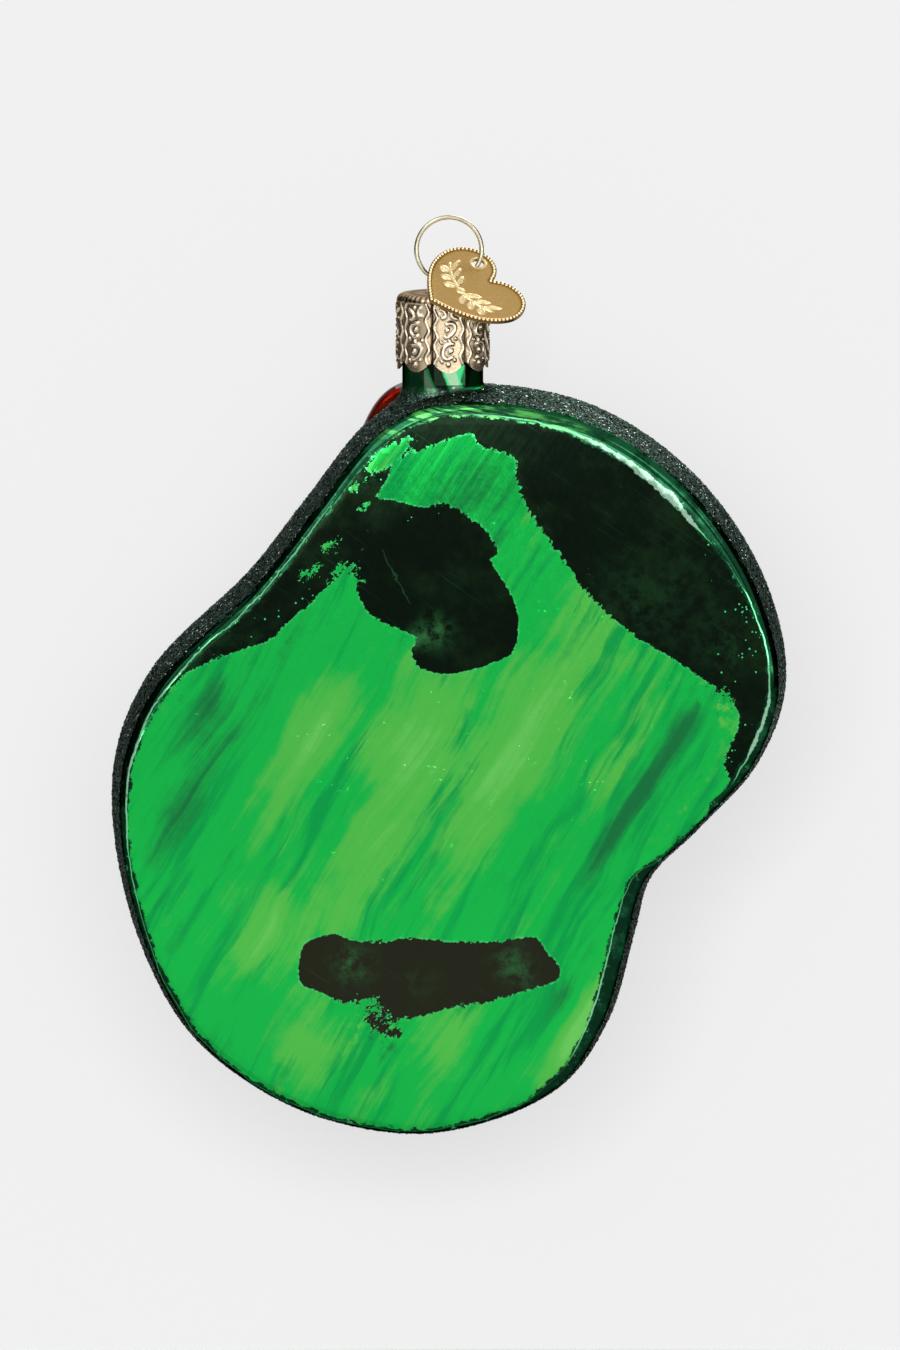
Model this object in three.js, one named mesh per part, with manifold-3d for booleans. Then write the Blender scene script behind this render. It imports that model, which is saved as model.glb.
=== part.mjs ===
// Hanging glass ornament in the shape of a golf putting green, with its cap, wire hanger and tag.
// Millimetres, +Z up. The origin is the hang point, inside the top of the wire ring.
// -Y is the plain flat back, +Y is the front with its relief, +X is to the right seen from the back.
import * as THREE from "three";
import { mergeVertices } from "three/addons/utils/BufferGeometryUtils.js";
import Module from "manifold-3d";

const wasm = await Module();
wasm.setup();

// Clearance between any two pieces that sit on or in each other
const SEAT = 0.3;

// How close two vertices are before they count as one
const MERGE_WITHIN = 1e-4;

// Hanger: one spring wire, a ring above the cap and two legs that spread inside the neck
const WIRE_DIAMETER = 0.6;
const RING_BORE = 7.74;
const RING_MOUTH_DEG = 30;
const RING_POINTS = 15;
const RING_ASIDE = 0.8;
const SHANK_LENGTH = 1.35;
const SHANK_STRAIGHT = 0.55;
const LEG_SPACING = 0.9;
const LEG_LENGTH = 15;
const LEG_KNEE_SPREAD = 2.2;
const LEG_KNEE_DROP = 8.2;
const WIRE_SIDES = 8;
const WIRE_STEPS = 84;

// Cap: thin pressed metal, with creased petals and a scalloped lower edge
const CAP_DIAMETER = 11.8;
const CAP_HEIGHT = 9.7;
const CAP_SHEET = 0.25;
const CAP_SHOULDER = 0.8;
const CAP_SHOULDER_STEPS = 3;
const CAP_HOLE = 2.4;
const PETALS = 8;
const PETAL_TURN_DEG = -14.5;
const PETAL_CREASE = 0.15;
const PETAL_STEPS = 10;
const SCALLOP_DEPTH = 1.3;

// Neck: the blown mouth under the cap, and its flare into the body
const GLASS_WALL = 1;
const NECK_SHOWING = 2.1;
const NECK_FLARE = 1.8;
const NECK_FLARE_SLOPE = 0.18;
const NECK_FLARE_DROP = 1.35;
const NECK_FLARE_STEPS = 5;
const NECK_SIDES = 40;
const LIP_ROUND = 0.35;

// Body: a kidney outline, straight drafted sides that meet at the mould seam, and tight edges
const BODY_WIDTH = 86.5;
const BODY_LENGTH = 96.6;
const BODY_DEPTH = 22;
const SIDE_DRAFT = 0.14;
const SEAM_SOFTNESS = 2;
const EDGE_ROUND = 1.5;
const INNER_ROUND = 0.5;
const OUTLINE_STEPS = 84;
const EDGE_STEPS = 3;
const SIDE_STEPS = 3;

// Outline seen from the back, clockwise from the crown: across from the neck's axis, and down
const OUTLINE = [
  [6.1, 0], [20.2, 3.1], [33, 12.3], [41.4, 25.2], [44.1, 38.2], [40.7, 48.5],
  [33, 57.2], [26.8, 63.6], [24.8, 70.5], [21.4, 82.1], [15, 90.9], [-0.4, 96.6],
  [-14.5, 95.1], [-25.5, 89.9], [-33.9, 82.1], [-40.7, 66.6], [-42.3, 49.1],
  [-37.5, 36.9], [-24.7, 23.9], [-17.7, 14.9], [-9.8, 5], [-2.9, 0.8],
];

// Front: a rough border, a step up to the green, and the green's low dome
const ROUGH_WIDTH = 6;
const GREEN_STEP = 0.8;
const GREEN_RISE = 1.5;
const GREEN_CENTRE_DROP = 49;
const DOME_RINGS = 3;

// Cup, flagstick, flag and ball, which stand in relief on the green
const CUP_ACROSS = 3.5;
const CUP_DROP = 35;
const CUP_RADIUS = 4.5;
const CUP_DEPTH = 0.8;
const CUP_SIDES = 32;
const STICK_DIAMETER = 1.8;
const STICK_STAND = 0.3;
const STICK_TOP_ACROSS = -2;
const STICK_TOP_DROP = 0.4;
const STICK_SPANS = 4;
const STICK_STEPS = 8;
const STICK_SIDES = 8;
const FLAG_LENGTH = 9.5;
const FLAG_DROOP = 9.4;
const FLAG_DROOP_POWER = 2.7;
const FLAG_HOIST = 9.5;
const FLAG_FLY = 6.5;
const FLAG_STAND = 1.6;
const FLAG_ROOT = 4.5;
const FLAG_WAVE = 0.45;
const FLAG_WAVES = 1.5;
const FLAG_STEPS = 12;
const BALL_RADIUS = 5.5;
const BALL_SUNK = 2.6;
const BALL_ACROSS = 10;
const BALL_DROP = 54;
const BALL_SIDES = 20;
const BALL_RINGS = 14;

// Tag: a heart threaded on the ring through a hole in one lobe
const TAG_WIDTH = 14.9;
const TAG_HEIGHT = 11.7;
const TAG_SHEET = 0.3;
const TAG_LOBE_RADIUS = 3.95;
const TAG_LOBE_END_DEG = 12;
const TAG_TIP_HALF_DEG = 66;
const TAG_SIDE_PULL = 0.36;
const TAG_CURVE_STEPS = 12;
const TAG_HOLE = 1.7;
const TAG_HOLE_ACROSS = -3.66;
const TAG_HOLE_UP = 9.74;
const TAG_HOLE_SIDES = 20;
const TAG_RIM_WIDTH = 0.75;
const TAG_RIM_HEIGHT = 0.15;
const TAG_BEADS = 46;
const TAG_BEAD_RADIUS = 0.32;
const TAG_PLACE_DEG = -26.5;
const TAG_YAW_DEG = 14.4;
const TAG_TILT_DEG = 35.2;
const TAG_TURN_DEG = -69.6;

// Heights and places that follow from the sizes above
const RING_RADIUS = (RING_BORE + WIRE_DIAMETER) / 2;
const RING_CENTRE_Z = -RING_BORE / 2;
const NECK_AXIS_X = -RING_ASIDE;
const CAP_TOP_Z = RING_CENTRE_Z - RING_RADIUS - SHANK_LENGTH;
const CAP_EDGE_Z = CAP_TOP_Z - CAP_HEIGHT;
const NECK_RADIUS = CAP_DIAMETER / 2 - PETAL_CREASE - CAP_SHEET - SEAT;
const NECK_MOUTH_Z = CAP_TOP_Z - CAP_SHEET - SEAT;
const CROWN_Z = CAP_EDGE_Z - NECK_SHOWING;
const LEG_SPREAD = NECK_RADIUS - GLASS_WALL - SEAT - WIRE_DIAMETER / 2;

// Metals and finishes
const METALS = {
  champagne: { color: 0xb59f78, roughness: 0.32, metalness: 1 },
  brassWire: { color: 0xc8be9f, roughness: 0.25, metalness: 1 },
  gold: { color: 0xb98a42, roughness: 0.35, metalness: 1 },
};
const LACQUERED_GLASS = { color: 0x1fae4b, roughness: 0.08, metalness: 0.6 };

// A closed geometry as a solid, with its shared vertices merged
function solidOf(geometry) {
  const bare = geometry.clone();
  bare.deleteAttribute("normal");
  bare.deleteAttribute("uv");
  const merged = mergeVertices(bare, MERGE_WITHIN);
  return new wasm.Manifold(
    new wasm.Mesh({
      numProp: 3,
      vertProperties: merged.attributes.position.array,
      triVerts: new Uint32Array(merged.index.array),
    }),
  );
}

// A solid as a geometry again
function geometryOf(solid) {
  const mesh = solid.getMesh();
  const geometry = new THREE.BufferGeometry();
  geometry.setAttribute("position", new THREE.BufferAttribute(mesh.vertProperties, 3));
  geometry.setIndex(new THREE.BufferAttribute(mesh.triVerts, 1));
  return geometry;
}

// A closed geometry through rings of equally many points. A loop joins its last ring to its first,
// and any other row of rings is closed at each end by a fan from the ring's middle.
function loft(rings, loop = false) {
  const count = rings[0].length;
  const points = rings.flat();
  const index = [];
  const bands = loop ? rings.length : rings.length - 1;
  for (let band = 0; band < bands; band++) {
    const here = band * count;
    const there = ((band + 1) % rings.length) * count;
    for (let i = 0; i < count; i++) {
      const next = (i + 1) % count;
      index.push(here + i, here + next, there + i);
      index.push(here + next, there + next, there + i);
    }
  }
  if (!loop) {
    const last = (rings.length - 1) * count;
    const firstMiddle = points.push(middleOf(rings[0])) - 1;
    const lastMiddle = points.push(middleOf(rings.at(-1))) - 1;
    for (let i = 0; i < count; i++) {
      const next = (i + 1) % count;
      index.push(firstMiddle, next, i);
      index.push(lastMiddle, last + i, last + next);
    }
  }
  const geometry = new THREE.BufferGeometry().setFromPoints(points);
  geometry.setIndex(index);
  return geometry;
}

function middleOf(ring) {
  const sum = ring.reduce((total, point) => total.add(point), new THREE.Vector3());
  return sum.divideScalar(ring.length);
}

// The outline's samples in the XZ plane, drawn at the body's real width and length
function sampleOutline() {
  const drawn = new THREE.CatmullRomCurve3(
    OUTLINE.map(([across, down]) => new THREE.Vector3(across, 0, -down)),
    true,
  );
  const samples = drawn.getSpacedPoints(OUTLINE_STEPS).slice(0, OUTLINE_STEPS);
  const extent = new THREE.Box3().setFromPoints(samples);
  const size = extent.getSize(new THREE.Vector3());
  return samples.map(
    (point) =>
      new THREE.Vector3(
        NECK_AXIS_X + (point.x * BODY_WIDTH) / size.x,
        0,
        CROWN_Z + ((point.z - extent.max.z) * BODY_LENGTH) / size.z,
      ),
  );
}

const outline = sampleOutline();
const inward = outline.map((_, i) => {
  const before = outline.at(i - 1);
  const after = outline[(i + 1) % outline.length];
  const along = after.clone().sub(before).normalize();
  return new THREE.Vector3(along.z, 0, -along.x);
});

// The outline drawn in by an inset, at a depth along Y
function outlineRing(inset, y) {
  return outline.map((point, i) => point.clone().addScaledVector(inward[i], inset).setY(y));
}

// How far the side wall lies inside the seam's outline at a depth
function sideInset(y) {
  return SIDE_DRAFT * (Math.hypot(y, SEAM_SOFTNESS) - SEAM_SOFTNESS);
}

// The rounded edge and half of the side wall, from the flat face to the seam, as inset and depth
function halfSection(wall) {
  const centreDepth = BODY_DEPTH / 2 - EDGE_ROUND;
  const centreInset = sideInset(centreDepth) + EDGE_ROUND;
  const radius = Math.max(EDGE_ROUND - wall, INNER_ROUND);
  const corner = wall + radius - EDGE_ROUND;
  const section = [];
  for (let step = 0; step <= EDGE_STEPS; step++) {
    const turn = (step / EDGE_STEPS) * (Math.PI / 2);
    section.push({
      inset: centreInset + corner - radius * Math.sin(turn),
      depth: centreDepth - corner + radius * Math.cos(turn),
    });
  }
  for (let step = 1; step < SIDE_STEPS; step++) {
    const depth = (centreDepth - corner) * (1 - step / SIDE_STEPS);
    section.push({ inset: sideInset(depth) + wall, depth });
  }
  return section;
}

const greenEdge = outlineRing(ROUGH_WIDTH + GREEN_STEP, 0);
const greenCentre = new THREE.Vector3(NECK_AXIS_X, 0, CROWN_Z - GREEN_CENTRE_DROP);
const greenFoot = BODY_DEPTH / 2 + GREEN_STEP;

// The body's outer skin for a wall of nothing, or its hollow for the glass wall
function bodyGeometry(wall) {
  const half = halfSection(wall);
  const rings = half.map(({ inset, depth }) => outlineRing(inset, -depth));
  rings.push(outlineRing(wall, 0));
  for (const { inset, depth } of half.toReversed()) {
    rings.push(outlineRing(inset, depth));
  }
  rings.push(outlineRing(ROUGH_WIDTH + wall / 2, BODY_DEPTH / 2 - wall));
  for (let ring = 0; ring < DOME_RINGS; ring++) {
    const share = 1 - ring / DOME_RINGS;
    const y = greenFoot - wall + GREEN_RISE * (1 - share * share);
    rings.push(greenEdge.map((point) => greenCentre.clone().lerp(point, share).setY(y)));
  }
  return loft(rings);
}

// The front's height over a point of the green, or of the rough outside it
function frontHeight(x, z) {
  const across = x - greenCentre.x;
  const up = z - greenCentre.z;
  for (let i = 0; i < greenEdge.length; i++) {
    const from = greenEdge[i].clone().sub(greenCentre);
    const edge = greenEdge[(i + 1) % greenEdge.length].clone().sub(greenEdge[i]);
    const cross = across * edge.z - up * edge.x;
    const reach = (from.x * edge.z - from.z * edge.x) / cross;
    const along = (from.x * up - from.z * across) / cross;
    if (reach > 0 && along >= 0 && along < 1) {
      const share = 1 / reach;
      return share < 1 ? greenFoot + GREEN_RISE * (1 - share * share) : BODY_DEPTH / 2;
    }
  }
  return greenFoot + GREEN_RISE;
}

// A level ring round the neck's axis, sloped across by a share of its width
function neckRing(radius, z, slope = 0) {
  return Array.from({ length: NECK_SIDES }, (_, i) => {
    const turn = (i / NECK_SIDES) * 2 * Math.PI;
    const across = radius * Math.cos(turn);
    return new THREE.Vector3(NECK_AXIS_X + across, radius * Math.sin(turn), z + slope * across);
  });
}

// The neck's outside, from inside the body up to its rounded lip
function neckGeometry() {
  const flareFoot = CROWN_Z - NECK_FLARE_DROP;
  const root = flareFoot - GLASS_WALL - NECK_FLARE;
  const rings = [neckRing(NECK_RADIUS, root, NECK_FLARE_SLOPE)];
  for (let step = NECK_FLARE_STEPS; step >= 0; step--) {
    const turn = (step / NECK_FLARE_STEPS) * (Math.PI / 2);
    const radius = NECK_RADIUS + NECK_FLARE * (1 - Math.cos(turn));
    const z = flareFoot + NECK_FLARE * (1 - Math.sin(turn));
    rings.push(neckRing(radius, z, NECK_FLARE_SLOPE * Math.sin(turn)));
  }
  rings.push(neckRing(NECK_RADIUS, NECK_MOUTH_Z - LIP_ROUND));
  rings.push(neckRing(NECK_RADIUS - LIP_ROUND, NECK_MOUTH_Z));
  return loft(rings);
}

function boreGeometry() {
  const radius = NECK_RADIUS - GLASS_WALL;
  const foot = CROWN_Z - NECK_RADIUS;
  return loft([neckRing(radius, foot), neckRing(radius, NECK_MOUTH_Z + GLASS_WALL)]);
}

function placeOnFront(across, drop) {
  const x = NECK_AXIS_X + across;
  const z = CROWN_Z - drop;
  return new THREE.Vector3(x, frontHeight(x, z), z);
}

// A round disc along Y, from one depth to another
function discSolid(radius, x, z, fromY, toY) {
  const disc = new THREE.CylinderGeometry(radius, radius, toY - fromY, CUP_SIDES);
  disc.translate(x, (fromY + toY) / 2, z);
  return solidOf(disc);
}

// The flagstick lies along the green's surface from the cup up to the flag
function stickSolid() {
  const top = placeOnFront(STICK_TOP_ACROSS, STICK_TOP_DROP);
  const foot = placeOnFront(CUP_ACROSS, CUP_DROP);
  const points = [];
  for (let i = 0; i <= STICK_SPANS; i++) {
    const point = foot.clone().lerp(top, i / STICK_SPANS);
    point.y = Math.max(frontHeight(point.x, point.z), greenFoot) + STICK_STAND;
    points.push(point);
  }
  return solidOf(rodGeometry(points, STICK_DIAMETER, STICK_SIDES, STICK_STEPS));
}

// The flag hangs from the stick and waves, a block whose root reaches down into the side wall
function flagSolid() {
  const hoist = placeOnFront(STICK_TOP_ACROSS, STICK_TOP_DROP);
  const face = BODY_DEPTH / 2 + FLAG_STAND;
  const root = BODY_DEPTH / 2 - FLAG_ROOT;
  const rings = [];
  for (let step = 0; step <= FLAG_STEPS; step++) {
    const share = step / FLAG_STEPS;
    const x = hoist.x - FLAG_LENGTH * share;
    const top = hoist.z - FLAG_DROOP * share ** FLAG_DROOP_POWER;
    const foot = top - THREE.MathUtils.lerp(FLAG_HOIST, FLAG_FLY, share);
    const front = face + FLAG_WAVE * Math.sin(share * FLAG_WAVES * 2 * Math.PI);
    rings.push([
      new THREE.Vector3(x, front - FLAG_WAVE, top),
      new THREE.Vector3(x, front, top - FLAG_WAVE),
      new THREE.Vector3(x, front, foot + FLAG_WAVE),
      new THREE.Vector3(x, front - FLAG_WAVE, foot),
      new THREE.Vector3(x, root, foot),
      new THREE.Vector3(x, root, top),
    ]);
  }
  return solidOf(loft(rings));
}

function ballAt(radius) {
  const place = placeOnFront(BALL_ACROSS, BALL_DROP);
  const ball = new THREE.SphereGeometry(radius, BALL_SIDES, BALL_RINGS);
  ball.translate(place.x, place.y - BALL_SUNK, place.z);
  return solidOf(ball);
}

// The blown body and neck in one, hollow and open at the neck's mouth
function glassSolid() {
  const cup = placeOnFront(CUP_ACROSS, CUP_DROP);
  const cupFloor = cup.y - CUP_DEPTH;
  const outside = solidOf(bodyGeometry(0))
    .add(solidOf(neckGeometry()))
    .add(ballAt(BALL_RADIUS))
    .subtract(discSolid(CUP_RADIUS, cup.x, cup.z, cupFloor, cup.y + GREEN_RISE))
    .add(flagSolid())
    .add(stickSolid());
  const cupBack = discSolid(CUP_RADIUS + GLASS_WALL, cup.x, cup.z, cupFloor - GLASS_WALL, cup.y);
  const hollow = solidOf(bodyGeometry(GLASS_WALL))
    .add(ballAt(BALL_RADIUS - GLASS_WALL))
    .subtract(cupBack)
    .add(solidOf(boreGeometry()));
  return outside.subtract(hollow);
}

// The cap's wall section at one angle, down the outside and back up the inside
function capSection(turn) {
  const ripple = Math.abs(Math.sin((turn - THREE.MathUtils.degToRad(PETAL_TURN_DEG)) * (PETALS / 2)));
  const radius = CAP_DIAMETER / 2 - PETAL_CREASE * (1 - ripple);
  const edge = CAP_EDGE_Z + SCALLOP_DEPTH * (1 - ripple);
  const round = CAP_DIAMETER / 2 - CAP_SHOULDER;
  const outside = [[CAP_HOLE / 2, CAP_TOP_Z]];
  const inside = [[CAP_HOLE / 2, CAP_TOP_Z - CAP_SHEET]];
  for (let step = 0; step <= CAP_SHOULDER_STEPS; step++) {
    const angle = (step / CAP_SHOULDER_STEPS) * (Math.PI / 2);
    const reach = radius - round;
    const inner = reach - CAP_SHEET;
    const rise = CAP_SHOULDER - CAP_SHEET;
    const z = CAP_TOP_Z - CAP_SHOULDER;
    outside.push([round + reach * Math.sin(angle), z + CAP_SHOULDER * Math.cos(angle)]);
    inside.push([round + inner * Math.sin(angle), z + rise * Math.cos(angle)]);
  }
  outside.push([radius, edge]);
  inside.push([radius - CAP_SHEET, edge]);
  const section = [...outside, ...inside.reverse()];
  return section.map(
    ([r, z]) => new THREE.Vector3(NECK_AXIS_X + r * Math.cos(turn), r * Math.sin(turn), z),
  );
}

function capGeometry() {
  const steps = PETALS * PETAL_STEPS;
  const start = THREE.MathUtils.degToRad(PETAL_TURN_DEG);
  const sections = [];
  for (let step = 0; step < steps; step++) {
    sections.push(capSection(start + (step / steps) * 2 * Math.PI));
  }
  return loft(sections, true);
}

// A place on the ring's middle line, at an angle up from +X
function ringPoint(angle) {
  const up = RING_CENTRE_Z + RING_RADIUS * Math.sin(angle);
  return new THREE.Vector3(RING_RADIUS * Math.cos(angle), 0, up);
}

// A round rod whose middle line is a smooth curve through points
function rodGeometry(points, diameter, sides, steps) {
  const section = Array.from({ length: sides }, (_, i) => {
    const turn = ((i + 0.5) / sides) * 2 * Math.PI;
    return new THREE.Vector2(Math.cos(turn), Math.sin(turn)).multiplyScalar(diameter / 2);
  });
  return new THREE.ExtrudeGeometry(new THREE.Shape(section), {
    steps,
    extrudePath: new THREE.CatmullRomCurve3(points),
  });
}

// The wire's middle line: up one leg, round the ring and down the other leg
function wireGeometry() {
  const legPoint = (across, z) => new THREE.Vector3(NECK_AXIS_X + across, 0, z);
  const leg = (side) => [
    legPoint(side * LEG_SPREAD, CAP_TOP_Z - LEG_LENGTH),
    legPoint(side * LEG_KNEE_SPREAD, CAP_TOP_Z - LEG_KNEE_DROP),
    legPoint((side * LEG_SPACING) / 2, CAP_TOP_Z - CAP_SHEET),
    legPoint((side * LEG_SPACING) / 2, CAP_TOP_Z + SHANK_STRAIGHT),
  ];
  const ring = [];
  for (let i = 0; i < RING_POINTS; i++) {
    const turn = -90 - RING_MOUTH_DEG - (i / (RING_POINTS - 1)) * (360 - 2 * RING_MOUTH_DEG);
    const angle = THREE.MathUtils.degToRad(turn);
    ring.push(ringPoint(angle));
  }
  const points = [...leg(-1), ...ring, ...leg(1).reverse()];
  return rodGeometry(points, WIRE_DIAMETER, WIRE_SIDES, WIRE_STEPS);
}

// The heart's outline with its tip at the origin, drawn in by an inset
function heartShape(inset = 0) {
  const radius = TAG_LOBE_RADIUS - inset;
  const across = TAG_WIDTH / 2 - TAG_LOBE_RADIUS;
  const up = TAG_HEIGHT - TAG_LOBE_RADIUS;
  const end = THREE.MathUtils.degToRad(-TAG_LOBE_END_DEG);
  const notchTurn = Math.acos(-across / TAG_LOBE_RADIUS);
  const notchUp = up + TAG_LOBE_RADIUS * Math.sin(notchTurn);
  const tip = new THREE.Vector2(0, inset / Math.sin(THREE.MathUtils.degToRad(TAG_TIP_HALF_DEG)));
  const start = new THREE.Vector2(across + radius * Math.cos(end), up + radius * Math.sin(end));
  const pull = start.distanceTo(tip) * TAG_SIDE_PULL;
  const tipTurn = THREE.MathUtils.degToRad(TAG_TIP_HALF_DEG);
  const nearTip = new THREE.Vector2(Math.sin(tipTurn), Math.cos(tipTurn)).multiplyScalar(pull).add(tip);
  const nearLobe = new THREE.Vector2(Math.sin(end), -Math.cos(end)).multiplyScalar(pull).add(start);
  const shape = new THREE.Shape();
  shape.moveTo(tip.x, tip.y);
  shape.bezierCurveTo(nearTip.x, nearTip.y, nearLobe.x, nearLobe.y, start.x, start.y);
  shape.absarc(across, up, radius, end, notchTurn, false);
  if (inset > 0) {
    shape.absarc(0, notchUp, inset, notchTurn - Math.PI, -notchTurn, true);
  }
  shape.absarc(-across, up, radius, Math.PI - notchTurn, Math.PI - end, false);
  shape.bezierCurveTo(-nearLobe.x, nearLobe.y, -nearTip.x, nearTip.y, tip.x, tip.y);
  return shape;
}

function plateSolid(shape, fromZ, toZ) {
  const plate = new THREE.ExtrudeGeometry(shape, {
    depth: toZ - fromZ,
    bevelEnabled: false,
    curveSegments: TAG_CURVE_STEPS,
  });
  plate.translate(0, 0, fromZ);
  return solidOf(plate);
}

// The heart tag, its face up at Z = 0 before it is turned, with a raised rim and a row of beads
function tagSolid() {
  const floor = plateSolid(heartShape(), -TAG_SHEET, 0);
  const rim = plateSolid(heartShape(), -TAG_SHEET / 2, TAG_RIM_HEIGHT).subtract(
    plateSolid(heartShape(TAG_RIM_WIDTH), -TAG_SHEET, TAG_RIM_HEIGHT * 2),
  );
  let tag = floor.add(rim);
  const beadLine = heartShape(TAG_RIM_WIDTH / 2).getSpacedPoints(TAG_BEADS).slice(0, TAG_BEADS);
  for (const point of beadLine) {
    const bead = new THREE.OctahedronGeometry(TAG_BEAD_RADIUS, 1);
    bead.translate(point.x, point.y, TAG_RIM_HEIGHT);
    tag = tag.add(solidOf(bead));
  }
  const drill = new THREE.CylinderGeometry(TAG_HOLE / 2, TAG_HOLE / 2, TAG_HOLE, TAG_HOLE_SIDES);
  drill.rotateX(Math.PI / 2);
  drill.translate(TAG_HOLE_ACROSS, TAG_HOLE_UP, 0);
  return tag.subtract(solidOf(drill));
}

function namedMesh(name, geometry, finish) {
  const mesh = new THREE.Mesh(geometry, new THREE.MeshStandardMaterial(finish));
  mesh.name = name;
  return mesh;
}

// The tag hangs from the place on the ring where the wire goes through its hole
function hangTag(tag) {
  const place = THREE.MathUtils.degToRad(TAG_PLACE_DEG);
  tag.position.set(-TAG_HOLE_ACROSS, -TAG_HOLE_UP, TAG_SHEET / 2);
  const turned = new THREE.Group().add(tag);
  turned.rotation.z = THREE.MathUtils.degToRad(TAG_TURN_DEG);
  const tilted = new THREE.Group().add(turned);
  tilted.rotation.x = THREE.MathUtils.degToRad(TAG_TILT_DEG);
  const hung = new THREE.Group().add(tilted);
  hung.rotation.z = THREE.MathUtils.degToRad(TAG_YAW_DEG);
  hung.position.copy(ringPoint(place));
  return hung;
}

const ornament = new THREE.Group();
ornament.add(
  namedMesh("glass_body", geometryOf(glassSolid()), LACQUERED_GLASS),
  namedMesh("cap", capGeometry(), METALS.champagne),
  namedMesh("hanger_wire", wireGeometry(), METALS.brassWire),
  hangTag(namedMesh("heart_tag", geometryOf(tagSolid()), METALS.gold)),
);

export default ornament;
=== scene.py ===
"""Looks of a hanging blown-glass putting green ornament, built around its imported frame.

Lengths are millimetres while a shape is made, and metres once it is a mesh. The frame's origin is
the hang point, -Y is the lacquered back, +Y the painted front and +Z is up.
"""

import logging
import math
from dataclasses import dataclass, field
from enum import Enum

import bmesh
import bpy
import numpy as np
from mathutils import Matrix, Vector
from mathutils.geometry import delaunay_2d_cdt


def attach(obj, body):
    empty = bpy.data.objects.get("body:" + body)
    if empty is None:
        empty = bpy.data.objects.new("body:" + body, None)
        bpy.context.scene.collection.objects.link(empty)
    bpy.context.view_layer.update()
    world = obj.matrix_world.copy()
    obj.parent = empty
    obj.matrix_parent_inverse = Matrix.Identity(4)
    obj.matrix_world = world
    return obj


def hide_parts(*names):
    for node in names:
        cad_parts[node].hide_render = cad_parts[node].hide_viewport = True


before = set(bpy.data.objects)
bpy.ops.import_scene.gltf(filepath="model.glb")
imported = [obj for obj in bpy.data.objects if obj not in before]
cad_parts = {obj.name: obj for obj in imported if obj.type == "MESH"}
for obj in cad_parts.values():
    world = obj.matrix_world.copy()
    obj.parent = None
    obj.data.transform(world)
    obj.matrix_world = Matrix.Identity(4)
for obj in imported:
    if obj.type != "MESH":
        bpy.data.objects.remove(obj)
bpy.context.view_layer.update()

log = logging.getLogger("ornament")

MM = 0.001
TURN = 2 * math.pi

Colour = tuple[float, float, float]
Pair = tuple[float, float]
Place = tuple[float, float, float]
Material = bpy.types.Material
Node = bpy.types.Node
Socket = bpy.types.NodeSocket
Sockets = bpy.types.bpy_prop_collection
Thing = bpy.types.Object
Tree = bpy.types.NodeTree


# Shapes


class Cut(Enum):
    """How one solid changes another."""

    JOIN = "UNION"
    TAKE = "DIFFERENCE"


def smooth_step(value: np.ndarray, low: float, high: float) -> np.ndarray:
    """0 below low, 1 above high and an even curve between."""
    share = np.clip((value - low) / (high - low), 0, 1)
    return share * share * (3 - 2 * share)


def spline(knots: np.ndarray, closed: bool, per_span: int = 16) -> np.ndarray:
    """A smooth curve through knots that never overshoots on uneven spans.

    Args:
        knots: The points it goes through, one row each.
        closed: Whether the last point leads back to the first.
        per_span: Points made for each span.

    Returns:
        The curve's points, without the closing one where it is closed.
    """
    knots = np.asarray(knots, float)
    if closed:
        padded = np.vstack([knots[-1:], knots, knots[:2]])
    else:
        padded = np.vstack([2 * knots[0] - knots[1], knots, 2 * knots[-1] - knots[-2]])
    share = (np.arange(per_span) / per_span)[:, None]
    rows = []
    for before, start, end, after in zip(padded, padded[1:], padded[2:], padded[3:]):
        pairs = ((before, start), (start, end), (end, after))
        lead, span, tail = (math.sqrt(np.linalg.norm(b - a)) for a, b in pairs)
        leave = ((start - before) / lead - (end - before) / (lead + span) + (end - start) / span) * span
        reach = ((end - start) / span - (after - start) / (span + tail) + (after - end) / tail) * span
        square = -3 * start + 3 * end - 2 * leave - reach
        cube = 2 * start - 2 * end + leave + reach
        rows.append(start + leave * share + square * share**2 + cube * share**3)
    if not closed:
        rows.append(knots[-1:])
    return np.vstack(rows)


def even_points(points: np.ndarray, count: int, closed: bool) -> np.ndarray:
    """Points an even distance apart along a line of points.

    Args:
        points: The line's points, one row each.
        count: How many points to make.
        closed: Whether the line leads back to its start.

    Returns:
        The new points, one row each.
    """
    line = np.vstack([points, points[:1]]) if closed else points
    lengths = np.r_[0, np.cumsum(np.linalg.norm(np.diff(line, axis=0), axis=1))]
    places = np.linspace(0, lengths[-1], count, endpoint=not closed)
    return np.column_stack([np.interp(places, lengths, column) for column in line.T])


def depth_inside(loop: np.ndarray, points: np.ndarray) -> np.ndarray:
    """How far points lie inside a closed loop.

    Args:
        loop: The loop's corners, one row of two numbers each.
        points: The points, one row of two numbers each.

    Returns:
        The distance to the loop, negative for a point outside it.
    """
    start, edge = loop, np.roll(loop, -1, axis=0) - loop
    square = (edge**2).sum(1)
    rise = np.where(np.abs(edge[:, 1]) < 1e-9, 1e-9, edge[:, 1])
    result = np.empty(len(points))
    for rows in np.array_split(np.arange(len(points)), len(points) // 2000 + 1):
        away = points[rows][:, None, :] - start
        along = np.clip((away * edge).sum(-1) / square, 0, 1)
        gap = np.linalg.norm(away - along[..., None] * edge, axis=-1).min(1)
        level = (away[..., 1] >= 0) != (away[..., 1] >= edge[:, 1])
        crossed = level & (away[..., 0] < away[..., 1] / rise * edge[:, 0])
        result[rows] = np.where(crossed.sum(1) % 2 == 1, gap, -gap)
    return result


def circle_points(count: int) -> np.ndarray:
    """Points of a circle with a radius of 1, one row of two numbers each."""
    turn = np.arange(count) / count * TURN
    return np.column_stack([np.cos(turn), np.sin(turn)])


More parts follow.
